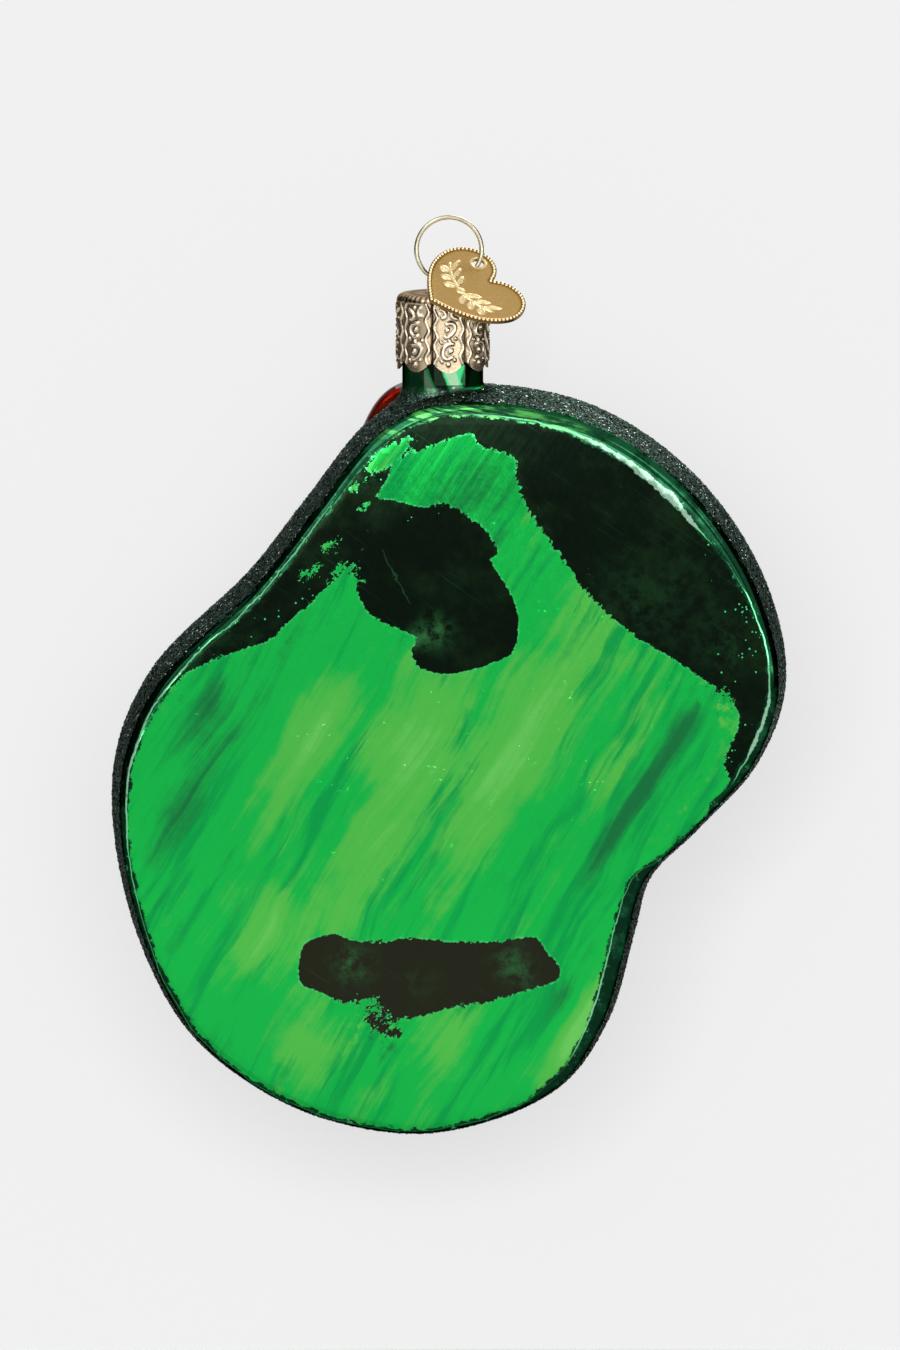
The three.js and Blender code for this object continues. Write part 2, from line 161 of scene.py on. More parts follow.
def leaning(away: np.ndarray, lean_deg: float) -> tuple[np.ndarray, np.ndarray]:
    """How far points lie along a leaning line, and how far beside it.

    Args:
        away: The points, counted from the line's middle.
        lean_deg: How far the line leans.

    Returns:
        The distances along the line and beside it.
    """
    cos, sin = math.cos(math.radians(lean_deg)), math.sin(math.radians(lean_deg))
    x, y = away[:, 0], away[:, 1]
    return x * cos + y * sin, -x * sin + y * cos


def hex_grid(low: np.ndarray, high: np.ndarray, pitch: float) -> np.ndarray:
    """The points of a grid of even triangles over a box.

    Args:
        low: The box's low corner.
        high: The box's high corner.
        pitch: The length of the triangles' sides.

    Returns:
        The points, one row of two numbers each.
    """
    across = np.arange(low[0], high[0], pitch)
    up = np.arange(low[1], high[1], pitch * math.sqrt(3) / 2)
    return np.array([(x + pitch / 2 * (row % 2), z) for row, z in enumerate(up) for x in across])


def fill_region(
    outer: np.ndarray, inside: np.ndarray, hole: np.ndarray | None = None
) -> tuple[np.ndarray, list]:
    """Even triangles over a flat region.

    Args:
        outer: The region's edge, one row of two numbers for each corner.
        inside: Points that become corners too.
        hole: The edge of a hole, if the region has one.

    Returns:
        The corners and the triangles, turned anticlockwise.
    """
    loops = [outer] if hole is None else [outer, hole]
    edges, start = [], 0
    for loop in loops:
        count = len(loop)
        edges += [(start + i, start + (i + 1) % count) for i in range(count)]
        start += count
    points = [Vector(p) for p in np.vstack([*loops, inside])]
    made = delaunay_2d_cdt(points, edges, [], 0, 1e-7)
    corners = np.array([tuple(p) for p in made[0]])
    triangles = np.array([tuple(face) for face in made[2]])
    middles = corners[triangles].mean(1)
    kept = depth_inside(outer, middles) > 0
    if hole is not None:
        kept &= depth_inside(hole, middles) < 0
    triangles = triangles[kept]
    a, b, c = (corners[triangles[:, i]] for i in range(3))
    turn = (b - a)[:, 0] * (c - a)[:, 1] - (b - a)[:, 1] * (c - a)[:, 0]
    triangles[turn < 0] = triangles[turn < 0][:, ::-1]
    return corners, triangles.tolist()


def strip_faces(rings: int, count: int, around: bool = True) -> list[tuple[int, ...]]:
    """Four-sided faces between rings of equally many points.

    Args:
        rings: How many rings there are.
        count: How many points each ring has.
        around: Whether each ring is closed.

    Returns:
        The faces.
    """
    faces = []
    for ring in range(rings - 1):
        for i in range(count if around else count - 1):
            here, there = ring * count, (ring + 1) * count
            following = (i + 1) % count
            faces.append((here + i, here + following, there + following, there + i))
    return faces


class Shape:
    """Points and faces that are gathered until they make a mesh."""

    def __init__(self) -> None:
        """Starts with nothing."""
        self.points: list[np.ndarray] = []
        self.faces: list[tuple[int, ...]] = []
        self.count = 0

    def add(self, points: np.ndarray, faces: list) -> int:
        """Adds points with the faces between them.

        Args:
            points: The points in millimetres, one row of three numbers each.
            faces: The faces, counted from the first of these points.

        Returns:
            The number of the first point added.
        """
        first = self.count
        self.points.append(np.asarray(points, float))
        self.faces += [tuple(first + i for i in face) for face in faces]
        self.count += len(points)
        return first

    def loft(self, rings: list[np.ndarray], cap_ends: bool = True) -> None:
        """Adds a skin through rings of equally many points.

        Args:
            rings: The rings, from one end to the other.
            cap_ends: Whether a fan closes each end.
        """
        count = len(rings[0])
        first = self.add(np.vstack(rings), strip_faces(len(rings), count))
        last = first + count * (len(rings) - 1)
        ends = ((first, rings[0], False), (last, rings[-1], True)) if cap_ends else ()
        for start, ring, forward in ends:
            middle = self.add(ring.mean(0)[None], [])
            for i in range(count):
                pair = (start + i, start + (i + 1) % count)
                self.faces.append((*pair, middle) if forward else (*pair[::-1], middle))

    def build(self, name: str, weld: float = 1e-3) -> Thing:
        """Makes the object, with points that share a place merged and its faces turned outwards.

        Args:
            name: The object's name.
            weld: How close two points merge, in millimetres.

        Returns:
            The new object, linked to the scene.
        """
        mesh = bpy.data.meshes.new(name)
        mesh.from_pydata((np.vstack(self.points) * MM).tolist(), [], self.faces)
        work = bmesh.new()
        work.from_mesh(mesh)
        bmesh.ops.remove_doubles(work, verts=work.verts, dist=weld * MM)
        bmesh.ops.recalc_face_normals(work, faces=work.faces)
        work.to_mesh(mesh)
        work.free()
        return linked(name, mesh)


def linked(name: str, data: bpy.types.ID) -> Thing:
    """Makes an object and links it to the scene.

    Args:
        name: The object's name.
        data: Its mesh, lamp or camera.

    Returns:
        The object.
    """
    thing = bpy.data.objects.new(name, data)
    bpy.context.scene.collection.objects.link(thing)
    return thing


def bake_modifiers(thing: Thing) -> None:
    """Turns what an object's modifiers make into its plain mesh.

    Args:
        thing: The object, which loses its modifiers.
    """
    seen = thing.evaluated_get(bpy.context.evaluated_depsgraph_get())
    mesh = bpy.data.meshes.new_from_object(seen)
    thing.modifiers.clear()
    old, thing.data = thing.data, mesh
    bpy.data.meshes.remove(old)


def combine(target: Thing, other: Thing, cut: Cut) -> None:
    """Joins one solid to another or takes it away, and removes the other.

    Args:
        target: The solid that changes.
        other: The solid that is used up.
        cut: Whether it is joined or taken away.
    """
    change = target.modifiers.new("cut", "BOOLEAN")
    change.operation = cut.value
    change.solver = "EXACT"
    change.object = other
    bake_modifiers(target)
    bpy.data.objects.remove(other)


def shade(thing: Thing, material: Material, sharp_deg: float = 42) -> None:
    """Gives a piece one material and smooth faces.

    Args:
        thing: The piece.
        material: Its material.
        sharp_deg: The angle past which an edge stays sharp.
    """
    thing.data.materials.clear()
    thing.data.materials.append(material)
    thing.data.shade_smooth()
    thing.data.set_sharp_from_angle(angle=math.radians(sharp_deg))


def places_of(mesh: bpy.types.Mesh) -> np.ndarray:
    """Where a mesh's points are.

    Args:
        mesh: The mesh.

    Returns:
        The points in millimetres, one row each.
    """
    flat = np.empty(len(mesh.vertices) * 3, np.float32)
    mesh.vertices.foreach_get("co", flat)
    return flat.reshape(-1, 3).astype(float) / MM


def store(mesh: bpy.types.Mesh, name: str, values: np.ndarray) -> None:
    """Keeps one number for each of a mesh's points, for its material to read."""
    attribute = mesh.attributes.new(name, "FLOAT", "POINT")
    attribute.data.foreach_set("value", values.astype(np.float32))


# Nodes and materials


@dataclass(frozen=True)
class Streaks:
    """Long soft marks of noise: length and width in millimetres, detail, roughness, swing and extra turn."""

    long: float
    wide: float
    detail: float
    rough: float
    swing: float = 1
    turn_deg: float = 0


class Sheet:
    """A node tree that takes one call for each node."""

    def __init__(self, tree: Tree) -> None:
        """Keeps the tree that is filled."""
        self.tree = tree

    def feed(self, node: Node, inputs: dict) -> None:
        """Gives a node's inputs their values.

        Args:
            node: The node.
            inputs: A value or another node's socket for each input, by name or number.
        """
        for name, value in inputs.items():
            if isinstance(value, Socket):
                self.tree.links.new(value, node.inputs[name])
            else:
                node.inputs[name].default_value = value

    def add(self, kind: str, inputs: dict | None = None, **settings: object) -> Node:
        """Adds a node.

        Args:
            kind: The node's type.
            inputs: A value or another node's socket for each input, by name or number.
            **settings: The node's own properties.

        Returns:
            The new node.
        """
        node = self.tree.nodes.new(kind)
        for name, value in settings.items():
            setattr(node, name, value)
        self.feed(node, inputs or {})
        return node

    def math(self, operation: str, *values: object, clamp: bool = False) -> Socket:
        """One sum of arithmetic, held within 0 and 1 where it is clamped."""
        inputs = dict(enumerate(values))
        return self.add("ShaderNodeMath", inputs, operation=operation, use_clamp=clamp).outputs[0]

    def times(self, first: object, *others: object) -> Socket:
        """The product of several numbers.

        Args:
            first: The first number.
            *others: All the others.

        Returns:
            The product.
        """
        for other in others:
            first = self.math("MULTIPLY", first, other)
        return first

    def plus(self, first: object, second: object, clamp: bool = False) -> Socket:
        """The sum of two numbers."""
        return self.math("ADD", first, second, clamp=clamp)

    def minus(self, first: object, second: object, clamp: bool = False) -> Socket:
        """The difference of two numbers."""
        return self.math("SUBTRACT", first, second, clamp=clamp)

    def swing(self, noise: Socket, size: object) -> Socket:
        """Noise made to swing about zero by a size."""
        return self.times(self.minus(noise, 0.5), size)

    def vector(self, operation: str, inputs: dict) -> Socket:
        """One sum with vectors."""
        return self.add("ShaderNodeVectorMath", inputs, operation=operation).outputs[0]

    def parts(self, vector: Socket) -> Sockets:
        """A vector's X, Y and Z."""
        return self.add("ShaderNodeSeparateXYZ", {0: vector}).outputs

    def mix(self, share: object, first: Colour | Socket, second: Colour | Socket) -> Socket:
        """A colour between two others."""
        ends = [(*end, 1) if isinstance(end, tuple) else end for end in (first, second)]
        return self.add("ShaderNodeMix", {0: share, 6: ends[0], 7: ends[1]}, data_type="RGBA").outputs[2]

    def between(self, share: object, first: object, second: object) -> Socket:
        """A number between two others."""
        return self.add("ShaderNodeMix", {0: share, 2: first, 3: second}).outputs[0]

    def smooth(self, value: object, low: float, high: float) -> Socket:
        """0 below low, 1 above high and an even curve between."""
        inputs = {"Value": value, "From Min": low, "From Max": high}
        return self.add("ShaderNodeMapRange", inputs, interpolation_type="SMOOTHSTEP").outputs[0]

    def noise(self, vector: object, scale: float, detail: float, rough: float) -> Socket:
        """Soft cloudy noise, about 0 to 1, with a scale counted for each metre."""
        inputs = {"Vector": vector, "Scale": scale, "Detail": detail, "Roughness": rough}
        return self.add("ShaderNodeTexNoise", inputs).outputs[0]

    def stretched(self, vector: object, turn_deg: float, long: float, wide: float) -> Socket:
        """Coordinates turned about Y and counted in the sizes of a mark.

        Args:
            vector: The coordinates to change.
            turn_deg: How far above +X the mark's length points.
            long: The mark's length and depth in millimetres.
            wide: The mark's width in millimetres.

        Returns:
            The changed coordinates.
        """
        inputs = {
            "Vector": vector,
            "Rotation": (0, -math.radians(turn_deg), 0),
            "Scale": (long * MM, long * MM, wide * MM),
        }
        return self.add("ShaderNodeMapping", inputs, vector_type="TEXTURE").outputs[0]

    def streaks(self, vector: object, turn_deg: float, marks: Streaks) -> Socket:
        """Noise drawn out into marks along a bearing above +X."""
        place = self.stretched(vector, turn_deg + marks.turn_deg, marks.long, marks.wide)
        return self.noise(place, 1, marks.detail, marks.rough)

    def bump(self, height: Socket, depth_mm: float) -> Socket:
        """The bent normal of a small relief."""
        return self.add("ShaderNodeBump", {"Height": height, "Distance": depth_mm * MM}).outputs[0]

    def own_number(self, name: str) -> Socket:
        """A number that the mesh keeps for each point."""
        return self.add("ShaderNodeAttribute", attribute_name=name).outputs["Fac"]

    def own_place(self) -> Socket:
        """The place on the piece, which is the frame's, as no piece is moved or turned."""
        return self.add("ShaderNodeTexCoord").outputs["Object"]

    def rays(self, *kinds: str) -> Socket:
        """Tells some kinds of ray from the others.

        Args:
            *kinds: The names of the outputs for these kinds.

        Returns:
            1 for these kinds and 0 for the others.
        """
        path = self.add("ShaderNodeLightPath").outputs
        seen = path[kinds[0]]
        for kind in kinds[1:]:
            seen = self.plus(seen, path[kind], clamp=kind == kinds[-1])
        return seen


def geometry_tree(name: str, inputs: dict[str, float | int]) -> tuple[Tree, Sheet, Sockets]:
    """An empty geometry tree with named inputs, and a material as its last one.

    Args:
        name: The tree's name.
        inputs: Each number that it takes, with its usual value.

    Returns:
        The tree, its sheet of nodes and what it is given.
    """
    tree = bpy.data.node_groups.new(name, "GeometryNodeTree")
    tree.interface.new_socket(name="Geometry", in_out="INPUT", socket_type="NodeSocketGeometry")
    for label, value in inputs.items():
        kind = "NodeSocketInt" if isinstance(value, int) else "NodeSocketFloat"
        tree.interface.new_socket(name=label, in_out="INPUT", socket_type=kind).default_value = value
    tree.interface.new_socket(name="Material", in_out="INPUT", socket_type="NodeSocketMaterial")
    tree.interface.new_socket(name="Geometry", in_out="OUTPUT", socket_type="NodeSocketGeometry")
    sheet = Sheet(tree)
    return tree, sheet, sheet.add("NodeGroupInput").outputs


def end_tree(sheet: Sheet, given: Sockets, made: Socket) -> None:
    """Ends a geometry tree with real geometry in its material.

    Args:
        sheet: The tree's sheet of nodes.
        given: What the tree is given.
        made: The geometry that it made.
    """
    real = sheet.add("GeometryNodeRealizeInstances", {0: made}).outputs[0]
    dressed = sheet.add("GeometryNodeSetMaterial", {0: real, 2: given["Material"]})
    sheet.add("NodeGroupOutput", {0: dressed.outputs[0]})


def grow(thing: Thing, tree: Tree, values: dict[str, object]) -> None:
    """Puts an object through a geometry tree and keeps the plain mesh that comes out.

    Args:
        thing: The object, which changes.
        tree: The geometry tree.
        values: A value for each of the tree's named inputs.
    """
    growth = thing.modifiers.new("growth", "NODES")
    growth.node_group = tree
    for item in tree.interface.items_tree:
        if item.in_out == "INPUT" and item.name in values:
            growth[item.identifier] = values[item.name]
    bake_modifiers(thing)


def path_object(name: str, path: np.ndarray, closed: bool) -> Thing:
    """Makes a line of points as an object that a tree can follow.

    Args:
        name: The object's name.
        path: The points in millimetres, one row each.
        closed: Whether the last point leads back to the first.

    Returns:
        The object.
    """
    count = len(path)
    edges = [(i, (i + 1) % count) for i in range(count if closed else count - 1)]
    mesh = bpy.data.meshes.new(name)
    mesh.from_pydata((path * MM).tolist(), edges, [])
    return linked(name, mesh)


def rod_tree() -> Tree:
    """A round rod with closed ends along a line.

    Returns:
        The tree.
    """
    tree, sheet, given = geometry_tree("rod along a line", {"Radius": 0.001, "Sides": 16, "Steps": 100})
    line = sheet.add("GeometryNodeMeshToCurve", {0: given["Geometry"]}).outputs[0]
    even = sheet.add("GeometryNodeResampleCurve", {0: line, "Count": given["Steps"]}).outputs[0]
    size = {"Resolution": given["Sides"], "Radius": given["Radius"]}
    circle = sheet.add("GeometryNodeCurvePrimitiveCircle", size).outputs[0]
    rod = sheet.add("GeometryNodeCurveToMesh", {0: even, "Profile Curve": circle, "Fill Caps": True})
    end_tree(sheet, given, rod.outputs[0])
    return tree


def bead_tree() -> Tree:
    """Evenly spaced beads along a closed line.

    Returns:
        The tree.
    """
    tree, sheet, given = geometry_tree("beads along a line", {"Count": 46, "Radius": 0.001})
    line = sheet.add("GeometryNodeMeshToCurve", {0: given["Geometry"]}).outputs[0]
    even = sheet.add("GeometryNodeResampleCurve", {0: line, "Count": given["Count"]}).outputs[0]
    points = sheet.add("GeometryNodeCurveToPoints", {0: even}, mode="EVALUATED").outputs[0]
    bead = sheet.add("GeometryNodeMeshIcoSphere", {"Radius": given["Radius"], "Subdivisions": 2}).outputs[0]
    beads = sheet.add("GeometryNodeInstanceOnPoints", {"Points": points, "Instance": bead}).outputs[0]
    end_tree(sheet, given, beads)
    return tree


def flake_tree() -> Tree:
    """Flat flakes strewn over a surface, each a little tilted, with fixed seeds.

    Returns:
        The tree.
    """
    inputs = {"Per Square Metre": 2.5e6, "Flake Radius": 0.0002, "Tilt": 0.5, "Seed": 7}
    tree, sheet, given = geometry_tree("flakes over a surface", inputs)
    where = {"Mesh": given["Geometry"], "Density": given["Per Square Metre"], "Seed": given["Seed"]}
    spread = sheet.add("GeometryNodeDistributePointsOnFaces", where)
    size = {"Segments": 4, "Rings": 2, "Radius": given["Flake Radius"]}
    flake = sheet.add("GeometryNodeMeshUVSphere", size)
    thinness, half_turn = 0.22, 3.14
    flat = {0: flake.outputs[0], "Scale": (1.0, 1.0, thinness)}
    thin = sheet.add("GeometryNodeTransform", flat).outputs[0]
    tilt = given["Tilt"]
    back = sheet.times(tilt, -1.0)
    low = sheet.add("ShaderNodeCombineXYZ", {0: back, 1: back, 2: -half_turn}).outputs[0]
    high = sheet.add("ShaderNodeCombineXYZ", {0: tilt, 1: tilt, 2: half_turn}).outputs[0]
    lean = sheet.add("FunctionNodeRandomValue", {0: low, 1: high, "Seed": 11}, data_type="FLOAT_VECTOR")
    turn = {"Rotation": spread.outputs["Rotation"], "Rotate By": lean.outputs[0]}
    turned = sheet.add("FunctionNodeRotateEuler", turn, space="LOCAL").outputs[0]
    scale = sheet.add("FunctionNodeRandomValue", {2: 0.5, 3: 1.25, "Seed": 13}, data_type="FLOAT").outputs[1]
    each = {"Points": spread.outputs[0], "Instance": thin, "Rotation": turned, "Scale": scale}
    flakes = sheet.add("GeometryNodeInstanceOnPoints", each).outputs[0]
    end_tree(sheet, given, flakes)
    return tree


def new_material(name: str) -> tuple[Material, Sheet, Node]:
    """An empty material.

    Args:
        name: The material's name.

    Returns:
        The material, its sheet of nodes and its one surface shader.
    """
    material = bpy.data.materials.new(name)
    material.use_nodes = True
    sheet = Sheet(material.node_tree)
    return material, sheet, material.node_tree.nodes["Principled BSDF"]


def new_group(name: str, inputs: dict[str, float], outputs: tuple[str, ...]) -> tuple[Tree, Sheet]:
    """A shader node group with plain numbers as inputs and outputs.

    Args:
        name: The group's name.
        inputs: Each number that it takes, with its usual value.
        outputs: The names of what it gives.

    Returns:
        The group and its sheet of nodes.
    """
    tree = bpy.data.node_groups.new(name, "ShaderNodeTree")
    tree.interface.new_socket(name="Vector", in_out="INPUT", socket_type="NodeSocketVector")
    for label, value in inputs.items():
        socket = tree.interface.new_socket(name=label, in_out="INPUT", socket_type="NodeSocketFloat")
        socket.default_value = value
    for label in outputs:
        tree.interface.new_socket(name=label, in_out="OUTPUT", socket_type="NodeSocketFloat")
    return tree, Sheet(tree)


def hammered_group() -> Tree:
    """The fine dents and hairlines that pressed and drawn metal shares.

    Returns:
        A group that takes a place, the size of the dents and the strength of the hairlines, and
        gives a tone, a roughness and a height.
    """
    inputs = {"Dent mm": 0.4, "Hairlines": 0.5}
    tree, sheet = new_group("hammered metal", inputs, ("Tone", "Roughness", "Height"))
    given = sheet.add("NodeGroupInput").outputs
    scale = sheet.math("DIVIDE", 1 / MM, given["Dent mm"])
    dents = sheet.noise(given["Vector"], scale, 3, 0.6)
    hairs = sheet.streaks(given["Vector"], 25, Streaks(6, 0.12, 2, 0.7))
    height = sheet.plus(dents, sheet.swing(hairs, given["Hairlines"]))
    tone, rough = sheet.smooth(height, 0.3, 0.7), sheet.between(dents, 0.14, 0.34)
    sheet.add("NodeGroupOutput", {"Tone": tone, "Roughness": rough, "Height": height})
    return tree


def sparkle_group() -> Tree:
    """The broken light of fine glitter in varnish.

    Returns:
        A group that takes a place and a grain size, and gives a tone and a height.
    """
    tree, sheet = new_group("glitter grain", {"Grain mm": 0.25}, ("Tone", "Height"))
    given = sheet.add("NodeGroupInput").outputs
    scale = sheet.math("DIVIDE", 1 / MM, given["Grain mm"])
    cells = sheet.add("ShaderNodeTexVoronoi", {"Vector": given["Vector"], "Scale": scale})
    chance = sheet.add("ShaderNodeSeparateColor", {0: cells.outputs["Color"]}).outputs
    sheet.add("NodeGroupOutput", {"Tone": chance[0], "Height": chance[1]})
    return tree


@dataclass(frozen=True)
class MetalFinish:
    """Thin lacquered metal, with darker wash in what lies low, and painted shade where its relief number
    falls below zero.
    """

    name: str
    colour: Colour
    wash: Colour
    dent_mm: float = 0.4
    hairlines: float = 0.5
    bump_mm: float = 0.02
    relief_name: str | None = None
    shade_and_tarnish: Colour = (0.10, 0.07, 0.04)
    edge_tint: Colour = (1, 1, 1)

    def material(self, hammered: Tree) -> Material:
        """Builds the material.

        Args:
            hammered: The shared group of dents and hairlines.

        Returns:
            The material.
        """
        material, sheet, surface = new_material(self.name)
        inputs = {"Vector": sheet.own_place(), "Dent mm": self.dent_mm, "Hairlines": self.hairlines}
        grain = sheet.add("ShaderNodeGroup", inputs, node_tree=hammered).outputs
        tone = grain["Tone"]
        if self.relief_name:
            relief = sheet.own_number(self.relief_name)
            tone = sheet.times(sheet.smooth(relief, 0.0, 1.0), sheet.between(tone, 0.75, 1.0))
            bare = sheet.mix(tone, self.wash, self.colour)
            # Painted shade, with tarnish, where the relief number is below zero.
            colour = sheet.mix(sheet.smooth(relief, -0.02, -0.6), bare, self.shade_and_tarnish)
        else:
            colour = sheet.mix(sheet.between(tone, 0.55, 1.0), self.wash, self.colour)
        sheet.feed(surface, {
            "Base Color": colour,
            "Metallic": 1,
            "Roughness": grain["Roughness"],
            "Specular Tint": (*self.edge_tint, 1),
            "Normal": sheet.bump(grain["Height"], self.bump_mm),
        })
        return material


@dataclass(frozen=True)
class EnamelFinish:
    """Glossy paint brushed on glass, with slight unevenness."""

    name: str
    colour: Colour
    thin: Colour
    roughness: float = 0.18
    coat: float = 0.6
    gloss: float = 0.3
    metal: float = 0
    edge_tint: Colour = (1, 1, 1)
    cloud_scale: float = 180
    brush: Streaks = Streaks(8, 0.5, 2, 0.6, 0.6, 35)
    brush_mm: float = 0.03

    def material(self) -> Material:
        """Builds the material.

        Returns:
            The material.
        """
        material, sheet, surface = new_material(self.name)
        place = sheet.own_place()
        cloud = sheet.noise(place, self.cloud_scale, 3, 0.6)
        brush = sheet.streaks(place, 0, self.brush)
        share = sheet.smooth(sheet.plus(cloud, sheet.times(brush, self.brush.swing)), 0.55, 1.0)
        sheet.feed(surface, {
            "Base Color": sheet.mix(share, self.colour, self.thin),
            "Metallic": self.metal,
            "Roughness": sheet.between(cloud, self.roughness * 0.7, self.roughness * 1.4),
            "Specular IOR Level": self.gloss,
            "Specular Tint": (*self.edge_tint, 1),
            "Coat Weight": self.coat,
            "Coat Roughness": 0.06,
            "Normal": sheet.bump(brush, self.brush_mm),
        })
        return material


@dataclass(frozen=True)
class Glitter:
    """Where the glitter is dimmed on the back's side: low down, up to the middle of the depth, in metres."""

    dim_z: Pair = (-0.088, -0.052)
    dim_y: Pair = (-0.003, 0.004)
    least: float = 0.22

    def tone(self, sheet: Sheet, sparkle: Tree, grain_mm: float, span: Pair) -> tuple[Socket, Socket]:
        """How brightly each grain shines.

        Args:
            sheet: The material's sheet.
            sparkle: The shared group of glitter grain.
            grain_mm: The size of the grains.
            span: The chances at which a grain is dull and at which it is bright.

        Returns:
            The brightness and the height of each grain.
        """
        place = sheet.own_place()
        inputs = {"Vector": place, "Grain mm": grain_mm}
        grain = sheet.add("ShaderNodeGroup", inputs, node_tree=sparkle).outputs
        where = sheet.parts(place)
        high, front = sheet.smooth(where[2], *self.dim_z), sheet.smooth(where[1], *self.dim_y)
        left = sheet.between(sheet.math("MAXIMUM", high, front), self.least, 1.0)
        return sheet.times(sheet.smooth(grain["Tone"], *span), left), grain["Height"]


@dataclass(frozen=True)
class GlitterFinish:
    """Tiny flakes of metal foil set in clear varnish."""

    name: str = "glitter"
    dark: Colour = (0.008, 0.024, 0.016)
    light: Colour = (0.62, 0.76, 0.70)
    edge_tint: Colour = (0.06, 0.10, 0.08)
    grain_mm: float = 0.3

    def material(self, sparkle: Tree) -> Material:
        """Builds the material.

        Args:
            sparkle: The shared group of glitter grain.

        Returns:
            The material.
        """
        material, sheet, surface = new_material(self.name)
        bright, height = Glitter().tone(sheet, sparkle, self.grain_mm, (0.55, 0.95))
        sheet.feed(surface, {
            "Base Color": sheet.mix(bright, self.dark, self.light),
            "Metallic": 1,
            "Roughness": sheet.between(height, 0.15, 0.45),
            "Specular Tint": (*self.edge_tint, 1),
        })
        return material


